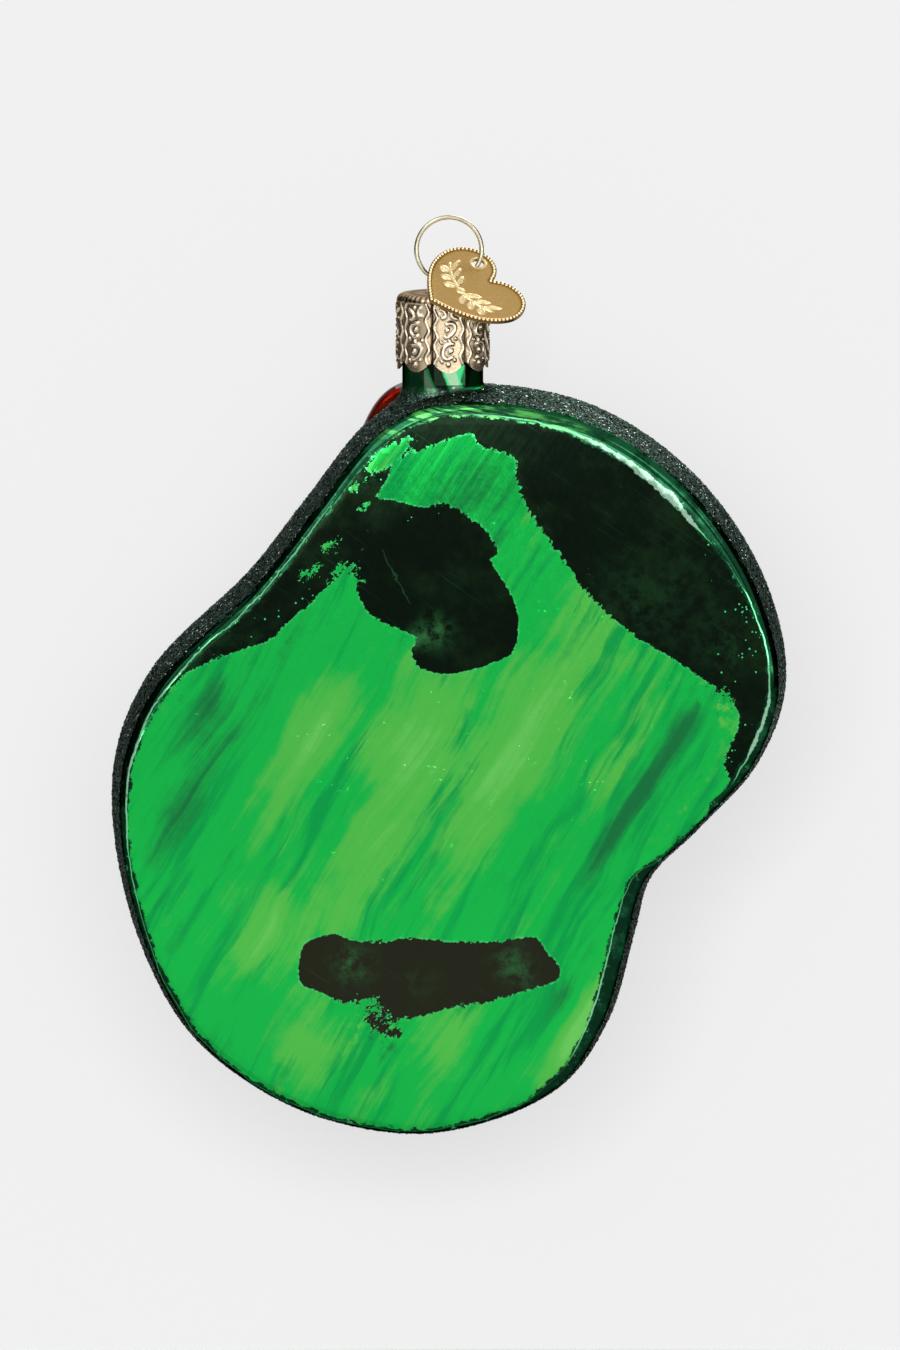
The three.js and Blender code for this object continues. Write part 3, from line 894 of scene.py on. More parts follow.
@dataclass(frozen=True)
class LacquerFinish:
    """Silvered glass under green lacquer: streaked back, with dark patches and dark sides painted as
    reflections of dark surroundings, painted highlights on the edge and neck, and the painted front.
    """

    name: str = "lacquered_glass"
    green: Colour = (0.010, 0.450, 0.068)
    yellow: Colour = (0.082, 0.490, 0.072)
    lime: Colour = (0.140, 0.560, 0.110)
    teal: Colour = (0.006, 0.330, 0.064)
    deep: Colour = (0.012, 0.170, 0.050)
    fringe: Colour = (0.070, 0.640, 0.200)
    # The dark colours paint the back's dark patches as reflections of dark surroundings, and the neck's dark
    # reflected bands; dark_light also colours dust, a crack and scratches.
    dark: Colour = (0.0040, 0.0085, 0.0048)
    dark_cloud: Colour = (0.0085, 0.0215, 0.0085)
    dark_light: Colour = (0.030, 0.140, 0.045)
    dark_brown: Colour = (0.019, 0.020, 0.012)
    # Paints the rounded edge very dark, as a reflection of dark surroundings.
    side: Colour = (0.0038, 0.026, 0.012)
    side_green: Colour = (0.012, 0.088, 0.037)
    # Paints highlight streaks along the top of the rounded edge.
    crown_highlight_green: Colour = (0.13, 0.60, 0.13)
    # rim paints the highlight along the edge and rim_green its greener edge, which also colours crumbs near
    # the edge.
    rim: Colour = (0.30, 0.52, 0.37)
    rim_green: Colour = (0.11, 0.62, 0.24)
    glitter_dark: Colour = (0.014, 0.034, 0.024)
    glitter_light: Colour = (0.17, 0.25, 0.21)
    rough_grass: Colour = (0.008, 0.12, 0.03)
    mown_grass: Colour = (0.07, 0.47, 0.065)
    mown_shade: Colour = (0.012, 0.30, 0.045)
    cup_hole: Colour = (0.01, 0.012, 0.01)
    cup_lip: Colour = (0.75, 0.76, 0.72)
    neck: Colour = (0.018, 0.165, 0.062)
    # The pale highlights painted on the neck.
    neck_highlight: Colour = (0.095, 0.165, 0.10)
    edge_tint: Colour = (0.08, 0.12, 0.09)
    streak_deg: float = 58
    broad: Streaks = Streaks(48, 5, 3, 0.55, 2.0)
    bands: Streaks = Streaks(30, 1.7, 3, 0.6, 1.5)
    hairs: Streaks = Streaks(13, 0.42, 4, 0.65, 0.8)
    cool: Streaks = Streaks(26, 2.6, 4, 0.6, 1, 4)
    spikes: Streaks = Streaks(1.9, 0.6, 4, 0.65, 2.5, -12)
    ridges: Streaks = Streaks(14, 0.8, 3, 0.6)
    scratches: Streaks = Streaks(9, 0.14, 2, 0.5)
    scratch_deg: float = -35
    crown_streaks: Streaks = Streaks(4, 0.45, 5, 0.72)
    crown_deg: float = -12
    mown_bands: Streaks = Streaks(60, 3.2, 2, 0.5, 0.5)
    mown_deg: float = 32
    sway_mm: float = 6
    # Painted shade: the height over which the back and its highlight darken towards the top, and how much.
    top_shade_z: Pair = (-0.043, -0.024)
    top_shade_most: float = 0.55
    brown_z: Pair = (-0.080, -0.088)
    # Painted light: the side's streaks grow greener over this height.
    side_top_light_z: Pair = (-0.044, -0.026)
    crown_z: Pair = (-0.0285, -0.0225)
    crack_start: Pair = (-8.75, -41.2)
    crack_deg: float = -61
    crack_mm: float = 8
    # Middle and half width of the painted highlight along the edge.
    rim_highlight_middle: float = 0.34
    rim_highlight_half: float = 0.50
    glitter_y: Pair = (-10.3, -9.3)
    front_y: Pair = (9.3, 9.9)
    cup_lip_mm: Pair = (5.3, 5.0)
    cup_hole_mm: Pair = (4.45, 4.25)

    def swayed(self, sheet: Sheet, place: Socket) -> Socket:
        """Bends the place a little, so that long streaks aren't ruled lines.

        Args:
            sheet: The material's sheet.
            place: The place on the piece.

        Returns:
            The bent place.
        """
        sway = sheet.add("ShaderNodeTexNoise", {"Vector": place, "Scale": 38.0, "Detail": 2.0})
        centred = sheet.vector("SUBTRACT", {0: sway.outputs["Color"], 1: (0.5, 0.5, 0.5)})
        small = sheet.vector("SCALE", {0: centred, "Scale": self.sway_mm * MM})
        return sheet.vector("ADD", {0: place, 1: small})

    def bright_back(self, sheet: Sheet, place: Socket) -> Socket:
        """The streaked green of the back, from deep and teal to yellow and lime.

        Args:
            sheet: The material's sheet.
            place: The place on the piece.

        Returns:
            The colour.
        """
        bent = self.swayed(sheet, place)
        tone = sheet.own_number("stroke_tone")
        for marks in (self.broad, self.bands, self.hairs):
            streaks = sheet.streaks(bent, self.streak_deg, marks)
            tone = sheet.plus(tone, sheet.swing(streaks, marks.swing))
        tone = sheet.plus(tone, sheet.swing(sheet.noise(place, 150, 5, 0.62), 1.5))
        crumb = sheet.swing(sheet.noise(place, 620, 4, 0.7), 4.5)
        tone = sheet.plus(tone, sheet.times(sheet.own_number("crumbly"), crumb))
        colour = sheet.mix(sheet.smooth(tone, 0.0, 0.75), self.green, self.yellow)
        colour = sheet.mix(sheet.smooth(tone, 0.8, 1.7), colour, self.lime)
        cool = sheet.smooth(sheet.streaks(bent, self.streak_deg, self.cool), 0.50, 0.66)
        cool = sheet.minus(cool, sheet.smooth(tone, 0.3, 1.1), clamp=True)
        colour = sheet.mix(cool, colour, self.teal)
        return sheet.mix(sheet.smooth(tone, -0.35, -1.5), colour, self.deep)

    def painted_shade_near_top(self, sheet: Sheet, place: Socket, colour: Socket) -> Socket:
        """A colour darkened near the top, as painted shade."""
        share = sheet.times(sheet.smooth(sheet.parts(place)[2], *self.top_shade_z), self.top_shade_most)
        return sheet.mix(share, colour, (0, 0, 0))

    def crack(self, sheet: Sheet, place: Socket) -> Socket:
        """One wandering hairline crack in the lacquer.

        Args:
            sheet: The material's sheet.
            place: The place on the piece.

        Returns:
            1 on the line and 0 beside it.
        """
        x, z = self.crack_start
        from_start = sheet.vector("SUBTRACT", {0: place, 1: (x * MM, 0, z * MM)})
        along, _, across = sheet.parts(sheet.stretched(from_start, self.crack_deg, 1, 1))
        wander = sheet.swing(sheet.noise(place, 380, 4, 0.6), 2.4)
        off = sheet.math("ABSOLUTE", sheet.plus(across, wander))
        ends = sheet.smooth(along, -0.1, 0.5), sheet.smooth(along, self.crack_mm, self.crack_mm - 0.8)
        return sheet.times(*ends, sheet.smooth(off, 0.13, 0.04))

    def painted_dark_reflection(self, sheet: Sheet, place: Socket) -> Socket:
        """The colour of the dark patches, painted reflections of dark surroundings: clouded, browner low
        down, dusty and specked, with a crack and scratches.

        Args:
            sheet: The material's sheet.
            place: The place on the piece.

        Returns:
            The colour.
        """
        cloud = sheet.noise(place, 95, 5, 0.68)
        dark = sheet.mix(sheet.smooth(cloud, 0.46, 0.72), self.dark, self.dark_cloud)
        dark = sheet.mix(sheet.smooth(sheet.parts(place)[2], *self.brown_z), dark, self.dark_brown)
        dust = sheet.smooth(sheet.noise(place, 620, 5, 0.72), 0.38, 0.66)
        dark = sheet.mix(sheet.times(sheet.own_number("dark_lift"), dust), dark, self.dark_light)
        dots = sheet.add("ShaderNodeTexVoronoi", {"Vector": place, "Scale": 2300.0}).outputs
        chance = sheet.add("ShaderNodeSeparateColor", {0: dots["Color"]}).outputs[0]
        often = sheet.math("LESS_THAN", chance, sheet.times(sheet.own_number("specks"), 0.25))
        small = sheet.smooth(dots["Distance"], 0.34, 0.22)
        dark = sheet.mix(sheet.times(often, small), dark, self.fringe)
        dark = sheet.mix(sheet.times(self.crack(sheet, place), 0.35), dark, self.dark_light)
        scratch = sheet.streaks(place, self.scratch_deg, self.scratches)
        return sheet.mix(sheet.times(sheet.smooth(scratch, 0.66, 0.78), 0.25), dark, self.dark_light)

    def back_colour(self, sheet: Sheet, place: Socket) -> Socket:
        """The colour of the flat back: streaked green with ragged dark patches, painted reflections of dark
        surroundings.

        Args:
            sheet: The material's sheet.
            place: The place on the piece.

        Returns:
            The colour.
        """
        # Painted shade darkens the streaked green near the top.
        bright = self.painted_shade_near_top(sheet, place, self.bright_back(sheet, place))
        spikes = sheet.swing(sheet.streaks(place, self.streak_deg, self.spikes), self.spikes.swing)
        crumbs = sheet.noise(place, 2100, 3, 0.7)
        loose = sheet.smooth(sheet.noise(place, 120, 2, 0.5), 0.42, 0.62)
        swing = sheet.times(sheet.plus(spikes, sheet.swing(crumbs, 2.2)), sheet.between(loose, 0.22, 0.75))
        swing = sheet.times(swing, sheet.plus(sheet.own_number("crumbly"), 1.0))
        ragged = sheet.plus(sheet.own_number("reflection_patch_gap"), swing)
        near = sheet.times(sheet.smooth(ragged, 0.35, 0.1), sheet.smooth(crumbs, 0.42, 0.62), 0.7)
        bright = sheet.mix(near, bright, self.fringe)
        # Painted reflection: dark inside the ragged outlines, streaked green outside them.
        return sheet.mix(sheet.smooth(ragged, -0.04, 0.06), self.painted_dark_reflection(sheet, place), bright)

    def side_colour(self, sheet: Sheet, place: Socket, over: Socket) -> Socket:
        """The green of the rounded edge: painted very dark as a reflection of dark surroundings, with
        mid-green streaks that grow as painted light towards the top, and painted highlight streaks at the
        crown.

        Args:
            sheet: The material's sheet.
            place: The place on the piece.
            over: How far past the flat back's edge each point lies.

        Returns:
            The colour.
        """
        z = sheet.parts(place)[2]
        # Painted light: more mid-green streaks towards the top.
        high = sheet.times(sheet.smooth(z, *self.side_top_light_z), 0.17)
        share = sheet.smooth(sheet.plus(sheet.noise(place, 330, 5, 0.7), high), 0.50, 0.72)
        # The side is painted very dark, a reflection of dark surroundings, with mid-green streaks.
        side = sheet.mix(share, self.side, self.side_green)
        streaks = sheet.smooth(sheet.streaks(place, self.crown_deg, self.crown_streaks), 0.45, 0.60)
        crown = sheet.times(sheet.smooth(z, *self.crown_z), streaks, sheet.smooth(over, 1.75, 1.1))
        # Painted highlight streaks along the crown.
        side = sheet.mix(crown, side, self.crown_highlight_green)
        crumbs = sheet.smooth(sheet.noise(place, 640, 5, 0.78), 0.585, 0.66)
        return sheet.mix(sheet.times(crumbs, sheet.smooth(over, 1.5, 0.3), 0.55), side, self.rim_green)

    def edge_colour(self, sheet: Sheet, place: Socket, fleck: Socket) -> Socket:
        """The colour of back and side together, with a painted highlight, a pale broken line, between them.

        Args:
            sheet: The material's sheet.
            place: The place on the piece.
            fleck: Fine noise.

        Returns:
            The colour.
        """
        over = sheet.own_number("edge_over")
        light = sheet.own_number("painted_rim_highlight")
        side = self.side_colour(sheet, place, over)
        torn = sheet.plus(over, sheet.swing(sheet.noise(place, 430, 5, 0.78), 2.6))
        colour = sheet.mix(sheet.smooth(torn, -0.14, 0.12), self.back_colour(sheet, place), side)
        # The painted highlight: a pale broken line along the edge.
        wander = sheet.swing(sheet.noise(place, 220, 3, 0.6), 0.8)
        rough = sheet.plus(sheet.times(sheet.smooth(light, 0.42, 0.8), 0.9), 0.3)
        fine = sheet.minus(sheet.noise(place, 900, 4, 0.7), 0.5)
        wander = sheet.plus(wander, sheet.times(fine, rough))
        away = sheet.math("ABSOLUTE", sheet.minus(sheet.plus(over, wander), self.rim_highlight_middle))
        line = sheet.smooth(sheet.minus(away, sheet.times(light, light, self.rim_highlight_half)), 0.07, -0.05)
        line = sheet.times(line, sheet.smooth(light, 0.04, 0.30), sheet.smooth(fleck, 0.22, 0.40))
        pale = sheet.mix(sheet.smooth(light, 0.20, 0.75), self.rim_green, self.rim)
        # The painted highlight is darkened by the same painted shade near the top.
        return sheet.mix(line, colour, self.painted_shade_near_top(sheet, place, pale))

    def front_colour(self, sheet: Sheet, place: Socket) -> Socket:
        """The colour of the painted front: dark rough border, mown green and a white-lipped cup.

        Args:
            sheet: The material's sheet.
            place: The place on the piece.

        Returns:
            The colour.
        """
        blades = sheet.noise(place, 900, 3, 0.7)
        cloud = sheet.noise(place, 120, 3, 0.6)
        rough = sheet.mix(sheet.smooth(blades, 0.35, 0.7), self.rough_grass, self.side_green)
        bands = sheet.streaks(self.swayed(sheet, place), self.mown_deg, self.mown_bands)
        shade = sheet.plus(cloud, sheet.swing(sheet.smooth(bands, 0.44, 0.56), self.mown_bands.swing))
        shade = sheet.plus(shade, sheet.swing(sheet.noise(place, 1300, 3, 0.75), 1.1), clamp=True)
        mown = sheet.mix(shade, self.mown_grass, self.mown_shade)
        edge = sheet.plus(sheet.own_number("green_depth"), sheet.times(blades, 0.5))
        colour = sheet.mix(sheet.smooth(edge, 0.1, 0.5), rough, mown)
        cup = sheet.own_number("cup_reach")
        colour = sheet.mix(sheet.smooth(cup, *self.cup_lip_mm), colour, self.cup_lip)
        return sheet.mix(sheet.smooth(cup, *self.cup_hole_mm), colour, self.cup_hole)

    def neck_colour(self, sheet: Sheet, place: Socket, fleck: Socket) -> Socket:
        """The colour of the neck, with painted pale highlights and painted dark reflected bands.

        Args:
            sheet: The material's sheet.
            place: The place on the piece.
            fleck: Fine noise.

        Returns:
            The colour.
        """
        colour = sheet.mix(sheet.smooth(fleck, 0.3, 0.8), self.neck, self.deep)
        runs = sheet.plus(sheet.own_number("neck_reflections"), sheet.swing(sheet.noise(place, 700, 4, 0.7), 1.1))
        # Painted highlights where the tone is high, painted dark reflections where it is low.
        colour = sheet.mix(sheet.smooth(runs, 0.1, 0.9), colour, self.neck_highlight)
        return sheet.mix(sheet.smooth(runs, -0.1, -0.8), colour, self.dark)

    def material(self, sparkle: Tree) -> Material:
        """Builds the material.

        Args:
            sparkle: The shared group of glitter grain.

        Returns:
            The material.
        """
        material, sheet, surface = new_material(self.name)
        place = sheet.own_place()
        depth = sheet.times(sheet.parts(place)[1], 1 / MM)
        fleck = sheet.noise(place, 1500, 2, 0.6)
        colour = self.edge_colour(sheet, place, fleck)

        bright, grit = Glitter().tone(sheet, sparkle, 0.22, (0.45, 1.0))
        wobble = sheet.plus(sheet.noise(place, 260, 4, 0.7), sheet.swing(fleck, 0.8))
        glittered = sheet.smooth(sheet.plus(depth, sheet.swing(wobble, 2.4)), *self.glitter_y)
        colour = sheet.mix(glittered, colour, sheet.mix(bright, self.glitter_dark, self.glitter_light))
        on_front = sheet.smooth(depth, *self.front_y)
        colour = sheet.mix(on_front, colour, self.front_colour(sheet, place))
        on_neck = sheet.own_number("neck_share")
        off_neck = sheet.minus(1.0, on_neck)
        coated = sheet.times(glittered, off_neck)
        metal = sheet.between(coated, 1.0, 0.9)
        ridges = sheet.streaks(place, self.streak_deg, self.ridges)
        sheet.feed(surface, {
            "Base Color": sheet.mix(on_neck, colour, self.neck_colour(sheet, place, fleck)),
            "Metallic": sheet.between(sheet.times(on_front, off_neck), metal, 0.35),
            "Roughness": sheet.between(coated, sheet.between(fleck, 0.05, 0.13), 0.42),
            "Specular Tint": (*self.edge_tint, 1),
            "Normal": sheet.bump(sheet.plus(ridges, sheet.times(grit, coated, 12.0)), 0.006),
        })
        return material


RED_PAINT = EnamelFinish(
    "red_paint", (0.24, 0.003, 0.003), (0.36, 0.022, 0.007), roughness=0.16, coat=0.0, gloss=0.1, metal=0.85,
    edge_tint=(0.08, 0.01, 0.01),
)
WHITE_PAINT = EnamelFinish("white_paint", (0.80, 0.80, 0.77), (0.70, 0.71, 0.68))
CAP_METAL = MetalFinish(
    "cap_metal", (0.93, 0.83, 0.66), (0.50, 0.39, 0.26), relief_name="relief", edge_tint=(0.40, 0.32, 0.24)
)
WIRE_METAL = MetalFinish("wire_metal", (0.56, 0.52, 0.38), (0.27, 0.25, 0.17), 0.8, 0.8, 0.004)
TAG_METAL = MetalFinish("tag_metal", (0.92, 0.74, 0.42), (0.40, 0.215, 0.035), relief_name="relief")
BEAD_METAL = MetalFinish("bead_metal", (1.0, 0.82, 0.52), (0.62, 0.40, 0.14))


# The blown glass


@dataclass
class KidneyOutline:
    """The body's outline, seen from the back: across from the neck's axis and down from the crown."""

    width: float = 86.5
    length: float = 96.6
    axis_x: float = -0.8
    crown_z: float = -21.19
    knots: tuple[Pair, ...] = (
        (6.1, 0), (20.2, 3.1), (33, 12.3), (41.4, 25.2), (44.1, 38.2), (40.7, 48.5),
        (33, 57.2), (26.8, 63.6), (24.8, 70.5), (21.4, 82.1), (15, 90.9), (-0.4, 96.6),
        (-14.5, 95.1), (-25.5, 89.9), (-33.9, 82.1), (-40.7, 66.6), (-42.3, 49.1),
        (-37.5, 36.9), (-24.7, 23.9), (-17.7, 14.9), (-9.8, 5), (-2.9, 0.8),
    )

    def place(self, across: np.ndarray, down: np.ndarray) -> np.ndarray:
        """Points in the frame's XZ plane from distances across and down."""
        return np.column_stack([self.axis_x + np.asarray(across), self.crown_z - np.asarray(down)])

    def spot(self, across: float, down: float) -> np.ndarray:
        """One point in the frame's XZ plane."""
        return self.place([across], [down])[0]

    def loop(self, count: int) -> np.ndarray:
        """The outline as an even ring of points in the XZ plane, clockwise seen from the back.

        Args:
            count: How many points to make.

        Returns:
            The points, one row of two numbers each.
        """
        ring = even_points(spline(np.array(self.knots), True), count, True)
        size = ring.max(0) - ring.min(0)
        across = ring[:, 0] * self.width / size[0]
        down = (ring[:, 1] - ring[:, 1].min()) * self.length / size[1]
        return self.place(across, down)

    def drawn_in(self, loop: np.ndarray, inset: float) -> np.ndarray:
        """The ring moved inwards.

        Args:
            loop: The ring's points.
            inset: How far they move.

        Returns:
            The moved points.
        """
        along = np.roll(loop, -1, axis=0) - np.roll(loop, 1, axis=0)
        along /= np.linalg.norm(along, axis=1)[:, None]
        return loop + inset * np.column_stack([along[:, 1], -along[:, 0]])


# Soft brush strokes in the lacquer: across, down, half length, half width and tone.
STROKES = (
    (9.4, 45.8, 17, 3.4, 1.1), (-4.7, 43.9, 7, 5, 0.9), (-18.8, 47.7, 8, 3, 0.75),
    (-14.1, 40.1, 7, 2.5, 0.5), (-22.6, 69.5, 6, 3.5, 1.1), (-16.0, 84.8, 4.5, 3.5, 0.9),
    (1.0, 83.8, 4.5, 2.4, 0.75), (18.5, 80.4, 8, 1.6, 2.0), (22.6, 46.7, 9, 2, 0.6),
    (-8.5, 57.2, 8, 4, 0.45), (-31.1, 42.0, 6, 3, -0.6), (-33.9, 54.3, 6, 2.2, -0.45),
    (-27.9, 60.0, 6, 1.5, -0.7), (30.7, 42.5, 5.2, 2.0, -1.0), (26.0, 50.0, 6, 1.6, -0.9),
    (19.8, 59.5, 9, 1.6, -0.9), (-7.0, 84.8, 4, 1.1, -1.3), (15.1, 77.1, 3, 1.4, -0.8),
    (-13.2, 32.5, 4, 2.5, -0.5), (3.0, 10.5, 9, 5, -0.85), (6.6, 19.1, 3, 1.2, -0.9),
    (-33.9, 70.5, 3, 1, -0.7), (-31, 51, 15, 6, -0.6), (4, 48, 13, 8, 0.45), (24, 55, 13, 4, -0.45),
    (-16, 66, 10, 6, 0.3), (-28, 80, 8, 4, -0.35), (8, 66, 10, 4, -0.3),
)

# Outlines of the dark patches, painted reflections of dark surroundings, across and down.
CRESCENT = (
    (-8.5, 13), (-5.5, 8.5), (-1, 6.5), (4, 5), (4.5, 6.5), (9, 8), (9.5, 11), (10.5, 14), (14.5, 20),
    (18.5, 25.5), (24.5, 31), (29.5, 34), (33, 36.5), (37, 39.5), (38, 42), (36, 47.5), (38.5, 51),
    (46, 44.5), (48.5, 31.5), (42, 16), (28, 2), (10, -3.5), (-1.5, -2), (-12, 4.5), (-19.5, 14.5),
    (-27.5, 25), (-36.5, 33), (-40, 42), (-37.5, 41), (-33, 36), (-26.5, 33), (-22, 31.5), (-19, 28.5),
    (-15.5, 25.5), (-13.5, 22.5), (-12, 17.5),
)
BLOB = (
    (-8, 13.5), (-2.5, 14.5), (0, 14), (3, 15.5), (5.5, 17.5), (7, 20.5), (6, 21), (8, 24.5), (9.5, 28),
    (9, 33), (6.5, 34.5), (3, 35.5), (0, 36), (-3, 35), (-4, 33), (-3, 31.5), (-5, 30.5), (-7, 29.5),
    (-9.5, 28), (-11, 24.5), (-10, 24), (-13, 22), (-12.5, 16),
)
BAR = (
    (-18.5, 74.5), (-17.5, 70.5), (-16, 70), (-14, 69.5), (-11, 70.5), (-4, 70), (1.5, 70.5), (7, 70.5),
    (12, 70), (13, 71.5), (15, 74), (14.5, 75.5), (11.5, 76.5), (7, 78), (1, 79), (-2.5, 80), (-5.5, 80.5),
    (-7.5, 80), (-8.5, 78), (-12.5, 78.5), (-15.5, 77), (-18, 76),
)
TORN = ((-9.8, 80.2), (-8.6, 79.4), (-7, 81), (-5.5, 81.8), (-5.2, 82.8), (-7, 82.6), (-8.8, 81.6))

# Bright islands in the painted dark reflections: across, down, half length and half width.
ISLANDS = (
    (-14.5, 19.5, 1.2, 0.5), (-17, 23, 1.0, 0.5), (-11.5, 22, 0.8, 0.4), (-10, 14.5, 1.1, 0.35),
    (-7, 8, 3.6, 1.1), (-11.5, 12, 1.4, 0.35), (-27.5, 29, 0.8, 0.4), (-29, 31, 0.9, 0.4),
)

# Round spots in the lacquer, each with its middle across and down, its reach and its strength.
LIFTS = (
    (30, 26, 8, 0.10), (24, 27, 5, 0.12), (36, 33, 3, 0.18), (-1, 30.5, 1.9, 1.0), (-3.2, 31.5, 1.2, 0.8),
    (-11.5, 73.3, 2.2, 0.75), (8.5, 72.7, 2.2, 0.5), (9.9, 74.8, 1.6, 0.65), (-3, 76, 2.5, 0.15),
    (-20, 33, 5, 0.10), (-28, 33.5, 5, 0.12), (-8, 9, 4, 0.20), (3, 7.5, 4, 0.08), (-35, 36, 4, 0.25),
    (36, 42, 3, 0.12),
)
CRUMBLY = (
    (34, 36.5, 3.0, 1.4), (36.5, 40, 2.2, 1.6), (31, 53, 3.2, 0.7), (33, 49, 2.5, 0.6), (26, 60, 2.5, 0.4),
    (-8, 81, 3.2, 2.0), (-13, 12, 4, 0.3), (-16, 22, 4, 0.5), (-27, 31, 5, 0.7), (-36, 38, 3, 1.2),
    (22, 73, 2.5, 0.5), (20, 81, 2, 0.4), (-38, 68, 3, 0.35), (-33, 78, 3, 0.35), (-22, 89, 3, 0.35),
    (36, 44, 2, 0.5),
)
SPECKS = (
    (39.4, 28.5, 2.2, 1.6), (39, 32, 1.9, 1.3), (38, 36, 2.5, 0.4), (39, 25, 3, 0.6), (36, 20, 2, 0.8),
    (36.5, 45, 2.5, 0.9), (-9.5, 80.5, 2.5, 1.6), (-18, 27, 5, 0.25), (-34, 37, 3, 0.6), (-5, 10, 5, 0.3),
    (35.3, 18.2, 1.1, 2.0),
)

# The painted highlight along the edge, a pale line: across, down, its strength there and how far it moves
# inwards.
PAINTED_RIM_HIGHLIGHTS = (
    (-42, 48, 0.62, -0.2), (-41, 44, 0.50, -0.1), (-39, 40, 0.42, 0), (-36, 36, 0.42, 0),
    (-30, 29, 0.36, 0), (-24, 24, 0.42, 0), (-18, 15.5, 0.42, 0), (-13, 9.5, 0.12, 0), (-9, 5.5, 0.14, 0),
    (-2, 1.5, 0.40, 0.1), (6, 1, 0.42, 0.2), (11, 2, 0.36, 0.35), (15, 4, 0.46, 0.5), (20, 7, 0.72, 0.8),
    (25, 10.5, 0.92, 1.0), (29, 13, 1.0, 1.1), (32, 15.5, 0.85, 1.2), (34, 17.2, 0.3, 1.2),
    (35.5, 19, 0.0, 1.0), (38, 22, 0.16, 0.5), (40, 27, 0.28, 0.2), (42, 32, 0.34, 0), (42.5, 37, 0.42, 0),
    (42, 41, 0.62, 0), (40.5, 45, 0.66, 0.2), (38.5, 48, 0.35, 0.1), (36, 51, 0.1, -0.3),
    (33, 56, 0.05, -0.9), (29, 60, 0.1, -0.8), (26, 64, 0.2, 0.6), (24.5, 69, 0.34, 0.9),
    (23.5, 74, 0.38, 0.9), (22, 79, 0.52, 0.8), (19.5, 84, 0.34, 0.5), (15, 89, 0.1, 0.1),
    (10, 93, 0.16, -0.6), (-5, 95.5, 0.14, -0.7), (-16, 93, 0.16, -0.7), (-25, 89, 0.18, -0.7),
    (-31, 84, 0.16, -0.7), (-36, 77, 0.18, -0.6), (-39, 70, 0.2, -0.5), (-41, 62, 0.3, -0.4),
    (-42, 54, 0.45, -0.3),
)

# Painted reflections on the neck, pale highlights and dark bands: bearing and half width in degrees, slant,
# and tone from -1 to 1.
NECK_REFLECTIONS = (
    (-58, 20, 2, 0.4), (-25.5, 7, 7, 1.0), (-6, 11, 4, -1.0), (15, 9, 5, 1.1), (34, 9, -4, -0.6),
    (64, 16, 3, 0.2), (100, 12, 5, 0.6), (135, 14, 6, -0.8), (168, 12, -5, 0.7), (205, 16, 6, -0.7),
    (238, 10, 3, 0.6), (268, 12, -4, -0.6),
)


